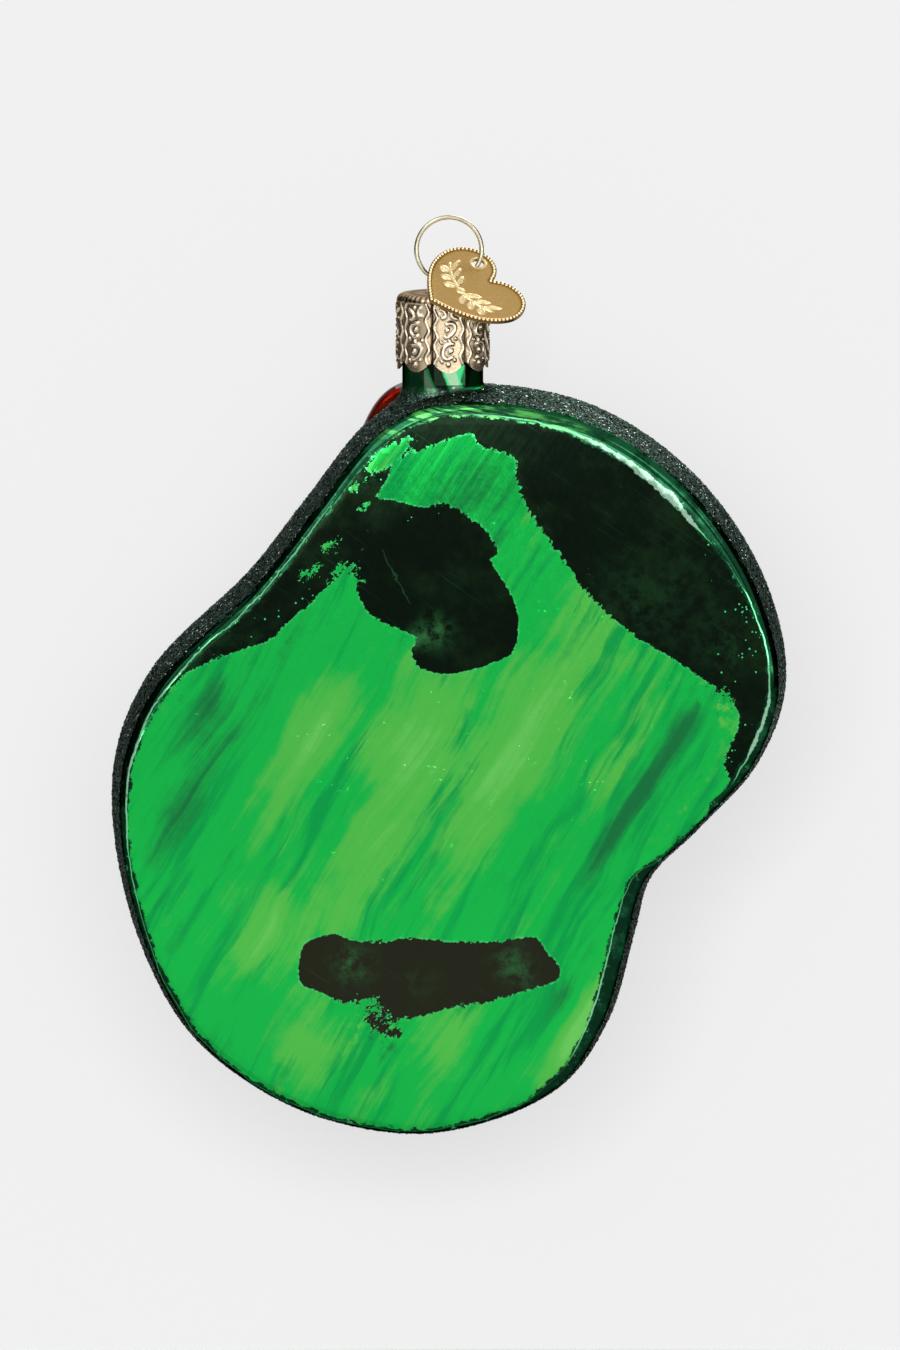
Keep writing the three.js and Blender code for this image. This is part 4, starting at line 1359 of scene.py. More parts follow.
@dataclass
class GlassBody:
    """The hollow body and neck, with its low relief front, ball, stick and flag."""

    outline: KidneyOutline = field(default_factory=KidneyOutline)
    around: int = 420
    depth: float = 22
    draft: float = 0.14
    seam_softness: float = 2
    edge_round: float = 1.5
    wall: float = 1
    neck_radius: float = 5.2
    neck_mouth_z: float = -9.94
    neck_flare: float = 1.8
    neck_slope: float = 0.18
    rough_width: float = 6
    green_step: float = 0.8
    green_rise: float = 1.5
    green_centre_drop: float = 49
    cup: tuple[float, float, float, float] = (3.5, 35, 4.5, 0.8)
    ball: tuple[float, float, float, float] = (10, 54, 5.5, 2.6)
    stick_top: Pair = (-2, 0.9)
    stick_radius: float = 0.9
    flag_length: float = 9.5
    flag_hoist: float = 9.5
    flag_fly: float = 6.5
    flag_droop: float = 9.4
    grid_pitch: float = 1.05
    dimples: int = 250
    stroke_deg: float = 58
    island_deg: float = 35

    def side_inset(self, y: float) -> float:
        """How far the side wall lies inside the seam's outline at a depth."""
        return self.draft * (math.hypot(y, self.seam_softness) - self.seam_softness)

    def section(self, wall: float, edge_steps: int, side_steps: int) -> list[Pair]:
        """The rounded edge and half of the side wall, from the flat face to the seam.

        Args:
            wall: How far the skin is drawn in all round.
            edge_steps: Steps round the edge.
            side_steps: Steps down the wall.

        Returns:
            Pairs of inset and depth.
        """
        radius = max(self.edge_round - wall, 0.5)
        lean = math.atan(self.draft)
        flat = self.depth / 2 - wall
        centre_depth = flat - radius
        foot = centre_depth + radius * math.sin(lean)
        centre_inset = self.side_inset(foot) + wall + radius * math.cos(lean)
        rows = []
        for step in range(edge_steps + 1):
            turn = step / edge_steps * (math.pi / 2 - lean)
            rows.append((centre_inset - radius * math.sin(turn), centre_depth + radius * math.cos(turn)))
        for step in range(1, side_steps):
            y = foot * (1 - step / side_steps)
            rows.append((self.side_inset(y) + wall, y))
        return rows

    def ring(self, loop: np.ndarray, inset: float, y: float) -> np.ndarray:
        """The outline drawn in by an inset, at a depth."""
        flat = self.outline.drawn_in(loop, inset)
        return np.column_stack([flat[:, 0], np.full(len(flat), y), flat[:, 1]])

    def wall_rings(self, loop: np.ndarray, wall: float, steps: tuple[int, int]) -> list[np.ndarray]:
        """Rings down the whole side, from the back's edge to the front's.

        Args:
            loop: The outline.
            wall: How far the skin is drawn in all round.
            steps: Steps round the edge, and down each half of the wall.

        Returns:
            The rings.
        """
        half = self.section(wall, *steps)
        rings = [self.ring(loop, inset, -y) for inset, y in half]
        rings.append(self.ring(loop, wall, 0))
        return rings + [self.ring(loop, inset, y) for inset, y in reversed(half)]

    def front_height(self, points: np.ndarray) -> np.ndarray:
        """How far the front stands out.

        Args:
            points: Points of the XZ plane.

        Returns:
            The height over each point.
        """
        loop = self.outline.loop(self.around)
        inside = depth_inside(loop, points)
        middle = self.outline.spot(0, self.green_centre_drop)
        green = self.outline.drawn_in(loop, self.rough_width + self.green_step) - middle
        bearing = np.arctan2(green[:, 1], green[:, 0])
        order = np.argsort(bearing)
        away = points - middle
        toward = np.arctan2(away[:, 1], away[:, 0])
        reach = np.interp(toward, bearing[order], np.hypot(*green.T)[order], period=TURN)
        share = np.clip(np.hypot(*away.T) / reach, 0, 1)
        step = smooth_step(inside, self.rough_width - 0.1, self.rough_width + self.green_step + 0.1)
        return self.depth / 2 + step * (self.green_step + self.green_rise * (1 - share**2))

    def front_with_cup(self, points: np.ndarray) -> np.ndarray:
        """The front's height with the cup sunk in it.

        Args:
            points: Points of the XZ plane.

        Returns:
            The height over each point.
        """
        across, drop, radius, deep = self.cup
        reach = np.hypot(*(points - self.outline.spot(across, drop)).T)
        return self.front_height(points) - deep * smooth_step(-reach, -radius - 0.15, -radius + 0.15)

    def back_dent(self, points: np.ndarray) -> np.ndarray:
        """The slight unevenness that blowing leaves in the flat back.

        Args:
            points: Points of the XZ plane.

        Returns:
            How far each point lies inside the flat face.
        """
        inside = np.clip(depth_inside(self.outline.loop(120), points) - 3, 0, 12) / 12
        x, z = points[:, 0], points[:, 1]
        wave = np.sin(x / 11 + 1.3 * np.sin(z / 17)) + np.sin(z / 13 + x / 29 + 0.7)
        return inside * (0.14 + 0.06 * wave)

    def add_back(self, shape: Shape, edge: np.ndarray) -> None:
        """Adds the flat back.

        Args:
            shape: The shape that it joins.
            edge: The back's edge in the XZ plane.
        """
        grid = hex_grid(edge.min(0), edge.max(0), self.grid_pitch)
        flat, faces = fill_region(edge, grid[depth_inside(edge, grid) > 0.5])
        shape.add(np.column_stack([flat[:, 0], -self.depth / 2 + self.back_dent(flat), flat[:, 1]]), faces)

    def add_front(self, shape: Shape, edge: np.ndarray, loop: np.ndarray) -> None:
        """Adds the relief front, with closer rings of points round the green and the cup.

        Args:
            shape: The shape that it joins.
            edge: The front's edge in the XZ plane.
            loop: The whole outline.
        """
        across, drop, radius, _ = self.cup
        centre = self.outline.spot(across, drop)
        rings = [self.outline.drawn_in(loop, inset) for inset in (5.7, 5.9, 6.15, 6.4, 6.65, 6.9, 7.1)]
        past = (-0.3, -0.15, -0.05, 0.05, 0.15, 0.3)
        rings += [centre + circle_points(72) * (radius + extra) for extra in past]
        grid = hex_grid(edge.min(0), edge.max(0), self.grid_pitch)
        near = np.abs(depth_inside(loop, grid) - 6.4) < 1.0
        near |= np.abs(np.hypot(*(grid - centre).T) - radius) < 0.6
        grid = np.vstack([*rings, grid[(depth_inside(edge, grid) > 0.5) & ~near]])
        flat, faces = fill_region(edge, grid)
        shape.add(np.column_stack([flat[:, 0], self.front_with_cup(flat), flat[:, 1]]), faces)

    def outside(self) -> Thing:
        """Makes the body's outer skin as one closed solid.

        Returns:
            The solid.
        """
        loop = self.outline.loop(self.around)
        rings = self.wall_rings(loop, 0, (10, 12))
        shape = Shape()
        shape.loft(rings, cap_ends=False)
        edge = rings[0][:, [0, 2]]
        self.add_back(shape, edge)
        self.add_front(shape, edge, loop)
        return shape.build("glass_body_visual")

    def inside(self) -> Thing:
        """Makes the hollow inside the wall.

        Returns:
            The solid that is taken away.
        """
        shape = Shape()
        shape.loft(self.wall_rings(self.outline.loop(140), self.wall, (4, 4)))
        return shape.build("hollow")

    def neck_ring(self, radius: float, z: float, slope: float = 0) -> np.ndarray:
        """A level ring round the neck's axis, sloped across by a share of its width."""
        across, y = (circle_points(120) * radius).T
        return np.column_stack([self.outline.axis_x + across, y, z + slope * across])

    def neck(self) -> Thing:
        """Makes the neck with its flare and rounded lip.

        Returns:
            The solid.
        """
        foot = self.outline.crown_z - 1.35
        rings = [self.neck_ring(self.neck_radius, foot - self.wall - self.neck_flare, self.neck_slope)]
        for step in range(12, -1, -1):
            turn = step / 12 * math.pi / 2
            radius = self.neck_radius + self.neck_flare * (1 - math.cos(turn))
            z = foot + self.neck_flare * (1 - math.sin(turn))
            rings.append(self.neck_ring(radius, z, self.neck_slope * math.sin(turn)))
        for share in (*np.arange(0.02, 0.28, 0.02), 0.5, 0.8):
            z = (foot + self.neck_flare) * (1 - share) + (self.neck_mouth_z - 0.5) * share
            rings.append(self.neck_ring(self.neck_radius, z))
        lip = 0.4
        for step in range(7):
            turn = step / 6 * math.pi / 2
            radius = self.neck_radius - lip * (1 - math.cos(turn))
            rings.append(self.neck_ring(radius, self.neck_mouth_z - lip * (1 - math.sin(turn))))
        shape = Shape()
        shape.loft(rings)
        return shape.build("neck")

    def bore(self) -> Thing:
        """Makes the neck's bore, down into the hollow.

        Returns:
            The solid that is taken away.
        """
        radius = self.neck_radius - self.wall
        foot = self.outline.crown_z - self.neck_radius
        shape = Shape()
        shape.loft([self.neck_ring(radius, foot), self.neck_ring(radius, self.neck_mouth_z + self.wall)])
        return shape.build("bore")

    def reflection_patch_gap(self, flat: np.ndarray) -> np.ndarray:
        """How far points lie outside the dark patches, painted reflections of dark surroundings.

        Args:
            flat: Points of the XZ plane.

        Returns:
            The distances, negative inside a patch.
        """
        gap = np.full(len(flat), -50.0)
        for patch in (CRESCENT, BLOB, BAR, TORN):
            loop = spline(self.outline.place(*np.array(patch).T), True, 6)
            gap = np.maximum(gap, depth_inside(loop, flat))
        for across, down, long, wide in ISLANDS:
            u, w = leaning(flat - self.outline.spot(across, down), self.island_deg)
            gap = np.minimum(gap, (np.hypot(u / long, w / wide) - 1) * wide)
        return -gap

    def spots(self, flat: np.ndarray, table: tuple[tuple[float, ...], ...], most: float) -> np.ndarray:
        """The strength of round spots over points.

        Args:
            flat: Points of the XZ plane.
            table: Each spot's middle across and down, its reach and its strength.
            most: The highest strength.

        Returns:
            The strength at each point.
        """
        share = np.zeros(len(flat))
        for across, down, reach, strength in table:
            away = np.hypot(*(flat - self.outline.spot(across, down)).T)
            share += strength * np.exp(-((away / reach) ** 2))
        return np.clip(share, 0, most)

    def mark_back(self, mesh: bpy.types.Mesh, places: np.ndarray) -> None:
        """Stores where the back's painted dark reflections, strokes, spots and painted rim highlight lie.

        Args:
            mesh: The body's mesh.
            places: Its points.
        """
        flat = places[:, [0, 2]]
        # Distance outside the painted dark reflections.
        store(mesh, "reflection_patch_gap", self.reflection_patch_gap(flat))
        tone = np.zeros(len(flat))
        for across, down, long, wide, strength in STROKES:
            u, w = leaning(flat - self.outline.spot(across, down), self.stroke_deg)
            tone += strength * np.exp(-((u / long) ** 2) - (w / wide) ** 2)
        store(mesh, "stroke_tone", tone)
        for name, table, most in (("dark_lift", LIFTS, 1), ("crumbly", CRUMBLY, 2), ("specks", SPECKS, 2)):
            store(mesh, name, self.spots(flat, table, most))
        # The painted highlight along the edge: its strength and inward shift at each point.
        lights = np.array(PAINTED_RIM_HIGHLIGHTS)
        near = np.linalg.norm(flat[:, None] - self.outline.place(lights[:, 0], lights[:, 1]), axis=2)
        weight = 1 / (near + 0.5) ** 3
        store(mesh, "painted_rim_highlight", (weight * lights[:, 2]).sum(1) / weight.sum(1))
        inward = (weight * lights[:, 3]).sum(1) / weight.sum(1)
        inside = depth_inside(self.outline.loop(self.around), flat)
        flat_inset = self.section(0, 1, 1)[0][0]
        store(mesh, "edge_over", np.where(places[:, 1] < 0, flat_inset - inside + inward, 9.0))
        store(mesh, "green_depth", inside - self.rough_width)

    def mark_neck(self, mesh: bpy.types.Mesh, places: np.ndarray) -> None:
        """Stores where the cup and the neck lie, and the painted reflections on the neck.

        Args:
            mesh: The body's mesh.
            places: Its points.
        """
        line = self.outline
        across, drop, _, _ = self.cup
        store(mesh, "cup_reach", np.hypot(*(places[:, [0, 2]] - line.spot(across, drop)).T))
        reach = np.hypot(places[:, 0] - line.axis_x, places[:, 1])
        lift = smooth_step(places[:, 2], line.crown_z - 1.2, line.crown_z + 0.4)
        store(mesh, "neck_share", lift * (reach < self.neck_radius + self.neck_flare + 0.3))
        bearing = np.degrees(np.arctan2(places[:, 0] - line.axis_x, -places[:, 1]))
        # Painted reflections on the neck, as a tone for each bearing.
        runs = np.zeros(len(places))
        for middle, wide, slant, tone in NECK_REFLECTIONS:
            lean = slant * np.clip(places[:, 2] - line.crown_z - 1.2, -1.5, 1.5)
            off = (bearing - middle + lean + 180) % 360 - 180
            runs += tone * smooth_step(-np.abs(off), -wide - 2, -wide * 0.6)
        store(mesh, "neck_reflections", runs)

    def build(self, lacquer: Material) -> Thing:
        """Makes the hollow glass in one piece.

        Args:
            lacquer: The finish of the glass.

        Returns:
            The piece.
        """
        glass = self.outside()
        combine(glass, self.neck(), Cut.JOIN)
        combine(glass, self.inside(), Cut.TAKE)
        combine(glass, self.bore(), Cut.TAKE)
        places = places_of(glass.data)
        self.mark_back(glass.data, places)
        self.mark_neck(glass.data, places)
        shade(glass, lacquer)
        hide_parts("glass_body")
        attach(glass, "glass")
        return glass

    def build_glitter(self, glitter: Material) -> Thing:
        """Makes the flakes on the side wall and on the front's rough border.

        Args:
            glitter: The flakes' finish.

        Returns:
            The piece.
        """
        loop = self.outline.loop(self.around)
        half = self.section(-0.02, 6, 8)
        rings = [self.ring(loop, inset, -y) for inset, y in half if y < 10.3]
        rings += [self.ring(loop, inset, y) for inset, y in reversed(half)]
        rings += [self.ring(loop, inset, self.depth / 2 + 0.02) for inset in (3.4, 4.6, 5.8)]
        shape = Shape()
        shape.loft(rings, cap_ends=False)
        flakes = shape.build("glitter_flakes")
        grow(flakes, flake_tree(), {"Per Square Metre": 2.6e6, "Material": glitter})
        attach(flakes, "glass")
        return flakes

    def build_ball(self, enamel: Material) -> Thing:
        """Makes the dimpled golf ball that stands out of the green.

        Args:
            enamel: The ball's finish.

        Returns:
            The piece.
        """
        across, drop, radius, sunk = self.ball
        middle = self.outline.place([across], [drop])
        centre = np.array([middle[0, 0], self.front_height(middle)[0] - sunk, middle[0, 1]])
        index = np.arange(self.dimples) + 0.5
        lift = 1 - 2 * index / self.dimples
        turn = index * math.pi * (1 + math.sqrt(5))
        level = np.sqrt(1 - lift**2)
        dimples = np.column_stack([level * np.cos(turn), lift, level * np.sin(turn)])
        lowest = math.acos((sunk - 0.6) / radius)
        cos, sin = circle_points(160).T
        rings = []
        for row in range(1, 61):
            angle = row / 60 * lowest
            wide = math.sin(angle)
            way = np.column_stack([wide * cos, np.full(160, math.cos(angle)), wide * sin])
            nearest = np.arccos(np.clip(way @ dimples.T, -1, 1)).min(1) * radius
            deep = 0.10 * smooth_step(-nearest, -0.48, -0.12)
            rings.append(centre + way * (radius - deep)[:, None])
        shape = Shape()
        shape.loft(rings)
        ball = shape.build("golf_ball_relief")
        shade(ball, enamel)
        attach(ball, "glass")
        return ball

    def build_stick(self, enamel: Material) -> Thing:
        """Makes the flagstick, half sunk in the green from the cup up to the flag.

        Args:
            enamel: The stick's finish.

        Returns:
            The piece.
        """
        foot = self.outline.spot(*self.cup[:2])
        top = self.outline.spot(*self.stick_top)
        flat = foot + (top - foot) * np.linspace(0, 1, 60)[:, None]
        height = np.maximum(self.front_height(flat), self.depth / 2 + self.green_step) + 0.25
        line = np.column_stack([flat[:, 0], height, flat[:, 1]])
        stick = path_object("flagstick_relief", line, False)
        size = {"Radius": self.stick_radius * MM, "Sides": 20, "Steps": 90}
        grow(stick, rod_tree(), {**size, "Material": enamel})
        shade(stick, enamel)
        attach(stick, "glass")
        return stick

    def flag_ring(self, share: float) -> np.ndarray:
        """One section of the flag, rounded at its two front corners.

        Args:
            share: How far along the flag it lies, from the stick.

        Returns:
            The section's points.
        """
        hoist = self.outline.spot(*self.stick_top)
        root, soft = self.depth / 2 - 4.5, 0.45
        x = hoist[0] - self.flag_length * share
        top = hoist[1] - self.flag_droop * share**3.3
        foot = top - (self.flag_hoist + (self.flag_fly - self.flag_hoist) * share)
        front = self.depth / 2 + 1.6 + 0.45 * math.sin(share * 1.5 * TURN)
        rows = []
        for step in range(5):
            turn = step / 4 * math.pi / 2
            rows.append((x, front - soft * (1 - math.sin(turn)), top - soft * (1 - math.cos(turn))))
        for step in range(5):
            turn = step / 4 * math.pi / 2
            rows.append((x, front - soft * (1 - math.cos(turn)), foot + soft * (1 - math.sin(turn))))
        rows += [(x, root + soft, foot), (x, root, foot + soft), (x, root, top - soft), (x, root + soft, top)]
        return np.array(rows)

    def build_flag(self, enamel: Material) -> Thing:
        """Makes the waving flag, whose root reaches down into the side wall.

        Args:
            enamel: The flag's finish.

        Returns:
            The piece.
        """
        rings = [self.flag_ring(share) for share in np.linspace(0, 1, 49)]
        last = rings[-1]
        rings.append((last - last.mean(0)) * [1, 0.8, 0.86] + last.mean(0) + [-0.15, 0, 0])
        shape = Shape()
        shape.loft(rings)
        flag = shape.build("flag_relief")
        shade(flag, enamel)
        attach(flag, "glass")
        return flag


# The metal fittings


# Open scrolls on a petal: across, down from the shoulder, radius, half gap in degrees and the gap's side.
SCROLLS = (
    (0.05, 6.1, 0.95, 55, 1), (-0.1, 3.35, 0.85, 60, -1), (0.9, 1.5, 0.55, 70, 1), (-0.9, 1.2, 0.5, 70, -1),
)

# Round bosses on a petal: across, down from the shoulder and radius.
BOSSES = (
    (0.15, 6.1, 0.42), (-0.2, 3.3, 0.38), (0.1, 4.75, 0.3), (0.95, 4.6, 0.26), (-1.0, 4.9, 0.26),
    (0, 7.75, 0.36), (0.85, 7.35, 0.26), (-0.85, 7.35, 0.26), (0, 0.5, 0.3),
)


@dataclass
class Cap:
    """The thin pressed cap with creased petals, embossed scrolls and a scalloped edge."""

    axis_x: float = -0.8
    radius: float = 5.9
    top_z: float = -9.39
    height: float = 9.7
    sheet: float = 0.25
    shoulder: float = 0.8
    hole: float = 1.2
    petals: int = 8
    petal_turn_deg: float = -14.5
    crease: float = 0.15
    scallop: float = 1.3
    relief: float = 0.2
    groove: float = 0.16
    fold_width: float = 0.16
    shadow: float = 0.17
    per_petal: int = 46

    def emboss(
        self, across: np.ndarray, down: np.ndarray, petal: np.ndarray, spread: float = 0
    ) -> np.ndarray:
        """The pressed scrolls, dots and wavy ribs on one petal.

        Args:
            across: Millimetres from the petal's middle line.
            down: Millimetres below the shoulder.
            petal: The petal's number, which turns every other scroll over.
            spread: How much wider each ridge is taken to be.

        Returns:
            How far the pattern stands out, 0 to 1.
        """
        facing = np.where(petal % 2 == 0, 1.0, -1.0)
        u = across * facing + 0.10 * np.sin(down * 1.9 + petal * 2.1)
        down = down + 0.12 * np.sin(across * 2.3 + petal)
        wave = 1.75 + 0.22 * np.sin(down * 2.6 + petal)
        pattern = [0.9 * smooth_step(-np.abs(np.abs(across) - wave), -0.26 - spread, -0.06 - spread)]
        for cx, cy, radius, open_deg, toward in SCROLLS:
            reach = np.hypot(u - cx, down - cy)
            bearing = np.degrees(np.arctan2(down - cy, (u - cx) * toward))
            ridge = smooth_step(-np.abs(reach - radius), -0.30 - spread, -0.08 - spread)
            pattern.append(ridge * smooth_step(np.abs(bearing), open_deg - 12, open_deg + 12))
        for cx, cy, radius in BOSSES:
            reach = np.hypot(u - cx, down - cy)
            pattern.append(smooth_step(-reach, -radius - spread, -radius * 0.35 - spread))
        return np.clip(np.maximum.reduce(pattern), 0, 1)

    def level(self, turn: np.ndarray, radius: np.ndarray, z: np.ndarray) -> np.ndarray:
        """A ring round the cap's axis."""
        return np.column_stack([self.axis_x + radius * np.cos(turn), radius * np.sin(turn), z])

    def skin(self) -> tuple[list[np.ndarray], list[np.ndarray], list[np.ndarray]]:
        """The cap's skin, ring by ring, from its hole over the shoulder to the scalloped edge.

        Returns:
            The rings of the outside and of the inside, and the tone of the outside's relief, with painted
            shade on the top, beside the ridges and in the creases.
        """
        columns = self.petals * self.per_petal
        turn = math.radians(self.petal_turn_deg) + np.arange(columns) / columns * TURN
        phase = np.arange(columns) / self.per_petal
        width = TURN * self.radius / self.petals
        ripple = np.abs(np.sin(phase * math.pi))
        fold = np.exp(-((np.abs((phase + 0.5) % 1 - 0.5) * width / self.fold_width) ** 2))
        radius = self.radius - self.crease * (1 - ripple) - self.groove * fold
        edge = self.top_z - self.height + self.scallop * (1 - ripple)
        middle = self.radius - self.shoulder
        start = self.top_z - self.shoulder
        across = (phase % 1 - 0.5) * width
        petal = np.floor(phase)
        flat = np.zeros(columns)
        outer, inner, relief = [], [], []
        for reach in np.linspace(self.hole, middle, 14):
            ripples = 0.5 + 0.5 * np.cos((reach - self.hole) * 3.4)
            lift = flat + ripples * smooth_step(np.array(reach), self.hole, self.hole + 0.6)
            z = self.top_z - 0.08 + 0.06 * lift
            outer.append((flat + reach, z))
            inner.append((flat + reach, flat + self.top_z - self.sheet))
            # Painted shade: the top is toned dark, lighter on its ripples.
            relief.append(0.7 * lift - 0.5)
        for step in range(1, 9):
            cos, sin = math.cos(step / 8 * math.pi / 2), math.sin(step / 8 * math.pi / 2)
            reach = radius - middle
            outer.append((middle + reach * sin, start + self.shoulder * cos + flat - 0.03 * cos))
            z = start + (self.shoulder - self.sheet) * cos + flat
            inner.append((middle + (reach - self.sheet) * sin, z))
            relief.append(0.25 - 0.1 * step + (0.75 - 0.06 * step) * np.cos(np.arange(columns) * TURN / 8))
        for share in np.linspace(0, 1, 74)[1:]:
            z = start + (edge - start) * share
            lift = self.emboss(across, start - z, petal) * smooth_step(np.array(1 - share), 0.0, 0.03)
            # Painted shadow: a dark band just outside each ridge.
            beside = np.clip(self.emboss(across, start - z, petal, self.shadow) - lift, 0, 1)
            outer.append((radius - 0.05 + self.relief * lift, z))
            inner.append((radius - self.sheet, z))
            # Raised scrolls lighter, with painted shadow beside them and painted shade in the creases.
            relief.append(lift - 0.45 * beside - 0.9 * fold)
        return [self.level(turn, *row) for row in outer], [self.level(turn, *row) for row in inner], relief

    def build(self, metal: Material) -> Thing:
        """Makes the cap.

        Args:
            metal: The cap's finish.

        Returns:
            The piece.
        """
        outer, inner, relief = self.skin()
        count = len(outer[0])
        rings = outer + inner[::-1]
        shape = Shape()
        faces = strip_faces(len(rings), count)
        last = (len(rings) - 1) * count
        faces += [(last + i, last + (i + 1) % count, (i + 1) % count, i) for i in range(count)]
        shape.add(np.vstack(rings), faces)
        cap = shape.build("cap_visual", weld=1e-4)
        lifts = np.concatenate(relief + [np.full(count * len(inner), 0.35)])
        store(cap.data, "relief", lifts)
        shade(cap, metal, 55)
        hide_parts("cap")
        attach(cap, "cap")
        return cap


@dataclass
class Hanger:
    """The spring wire: a ring above the cap and two legs spread inside the neck."""

    wire: float = 0.6
    bore: float = 7.74
    mouth_deg: float = 30
    ring_points: int = 15
    axis_x: float = -0.8
    cap_top_z: float = -9.39
    cap_sheet: float = 0.25
    shank_straight: float = 0.55
    leg_spacing: float = 0.9
    leg_length: float = 15
    knee_spread: float = 2.2
    knee_drop: float = 8.2
    leg_spread: float = 3.6

    def path(self) -> np.ndarray:
        """The wire's middle line: up one leg, round the ring and down the other.

        Returns:
            The line's points, one row each.
        """
        rows = (
            (self.leg_spread, self.cap_top_z - self.leg_length),
            (self.knee_spread, self.cap_top_z - self.knee_drop),
            (self.leg_spacing / 2, self.cap_top_z - self.cap_sheet),
            (self.leg_spacing / 2, self.cap_top_z + self.shank_straight),
        )
        left = [(self.axis_x - across, 0, z) for across, z in rows]
        right = [(self.axis_x + across, 0, z) for across, z in rows]
        turn = np.radians(np.linspace(-90 - self.mouth_deg, -450 + self.mouth_deg, self.ring_points))
        radius = (self.bore + self.wire) / 2
        ring = np.column_stack([radius * np.cos(turn), 0 * turn, -self.bore / 2 + radius * np.sin(turn)])
        return np.vstack([left, ring, right[::-1]])

    def build(self, metal: Material) -> Thing:
        """Makes the wire.

        Args:
            metal: The wire's finish.

        Returns:
            The piece.
        """
        line = even_points(spline(self.path(), False, 24), 500, False)
        wire = path_object("hanger_wire_visual", line, False)
        grow(wire, rod_tree(), {"Radius": self.wire / 2 * MM, "Sides": 16, "Steps": 420, "Material": metal})
        shade(wire, metal)
        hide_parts("hanger_wire")
        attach(wire, "hanger")
        return wire


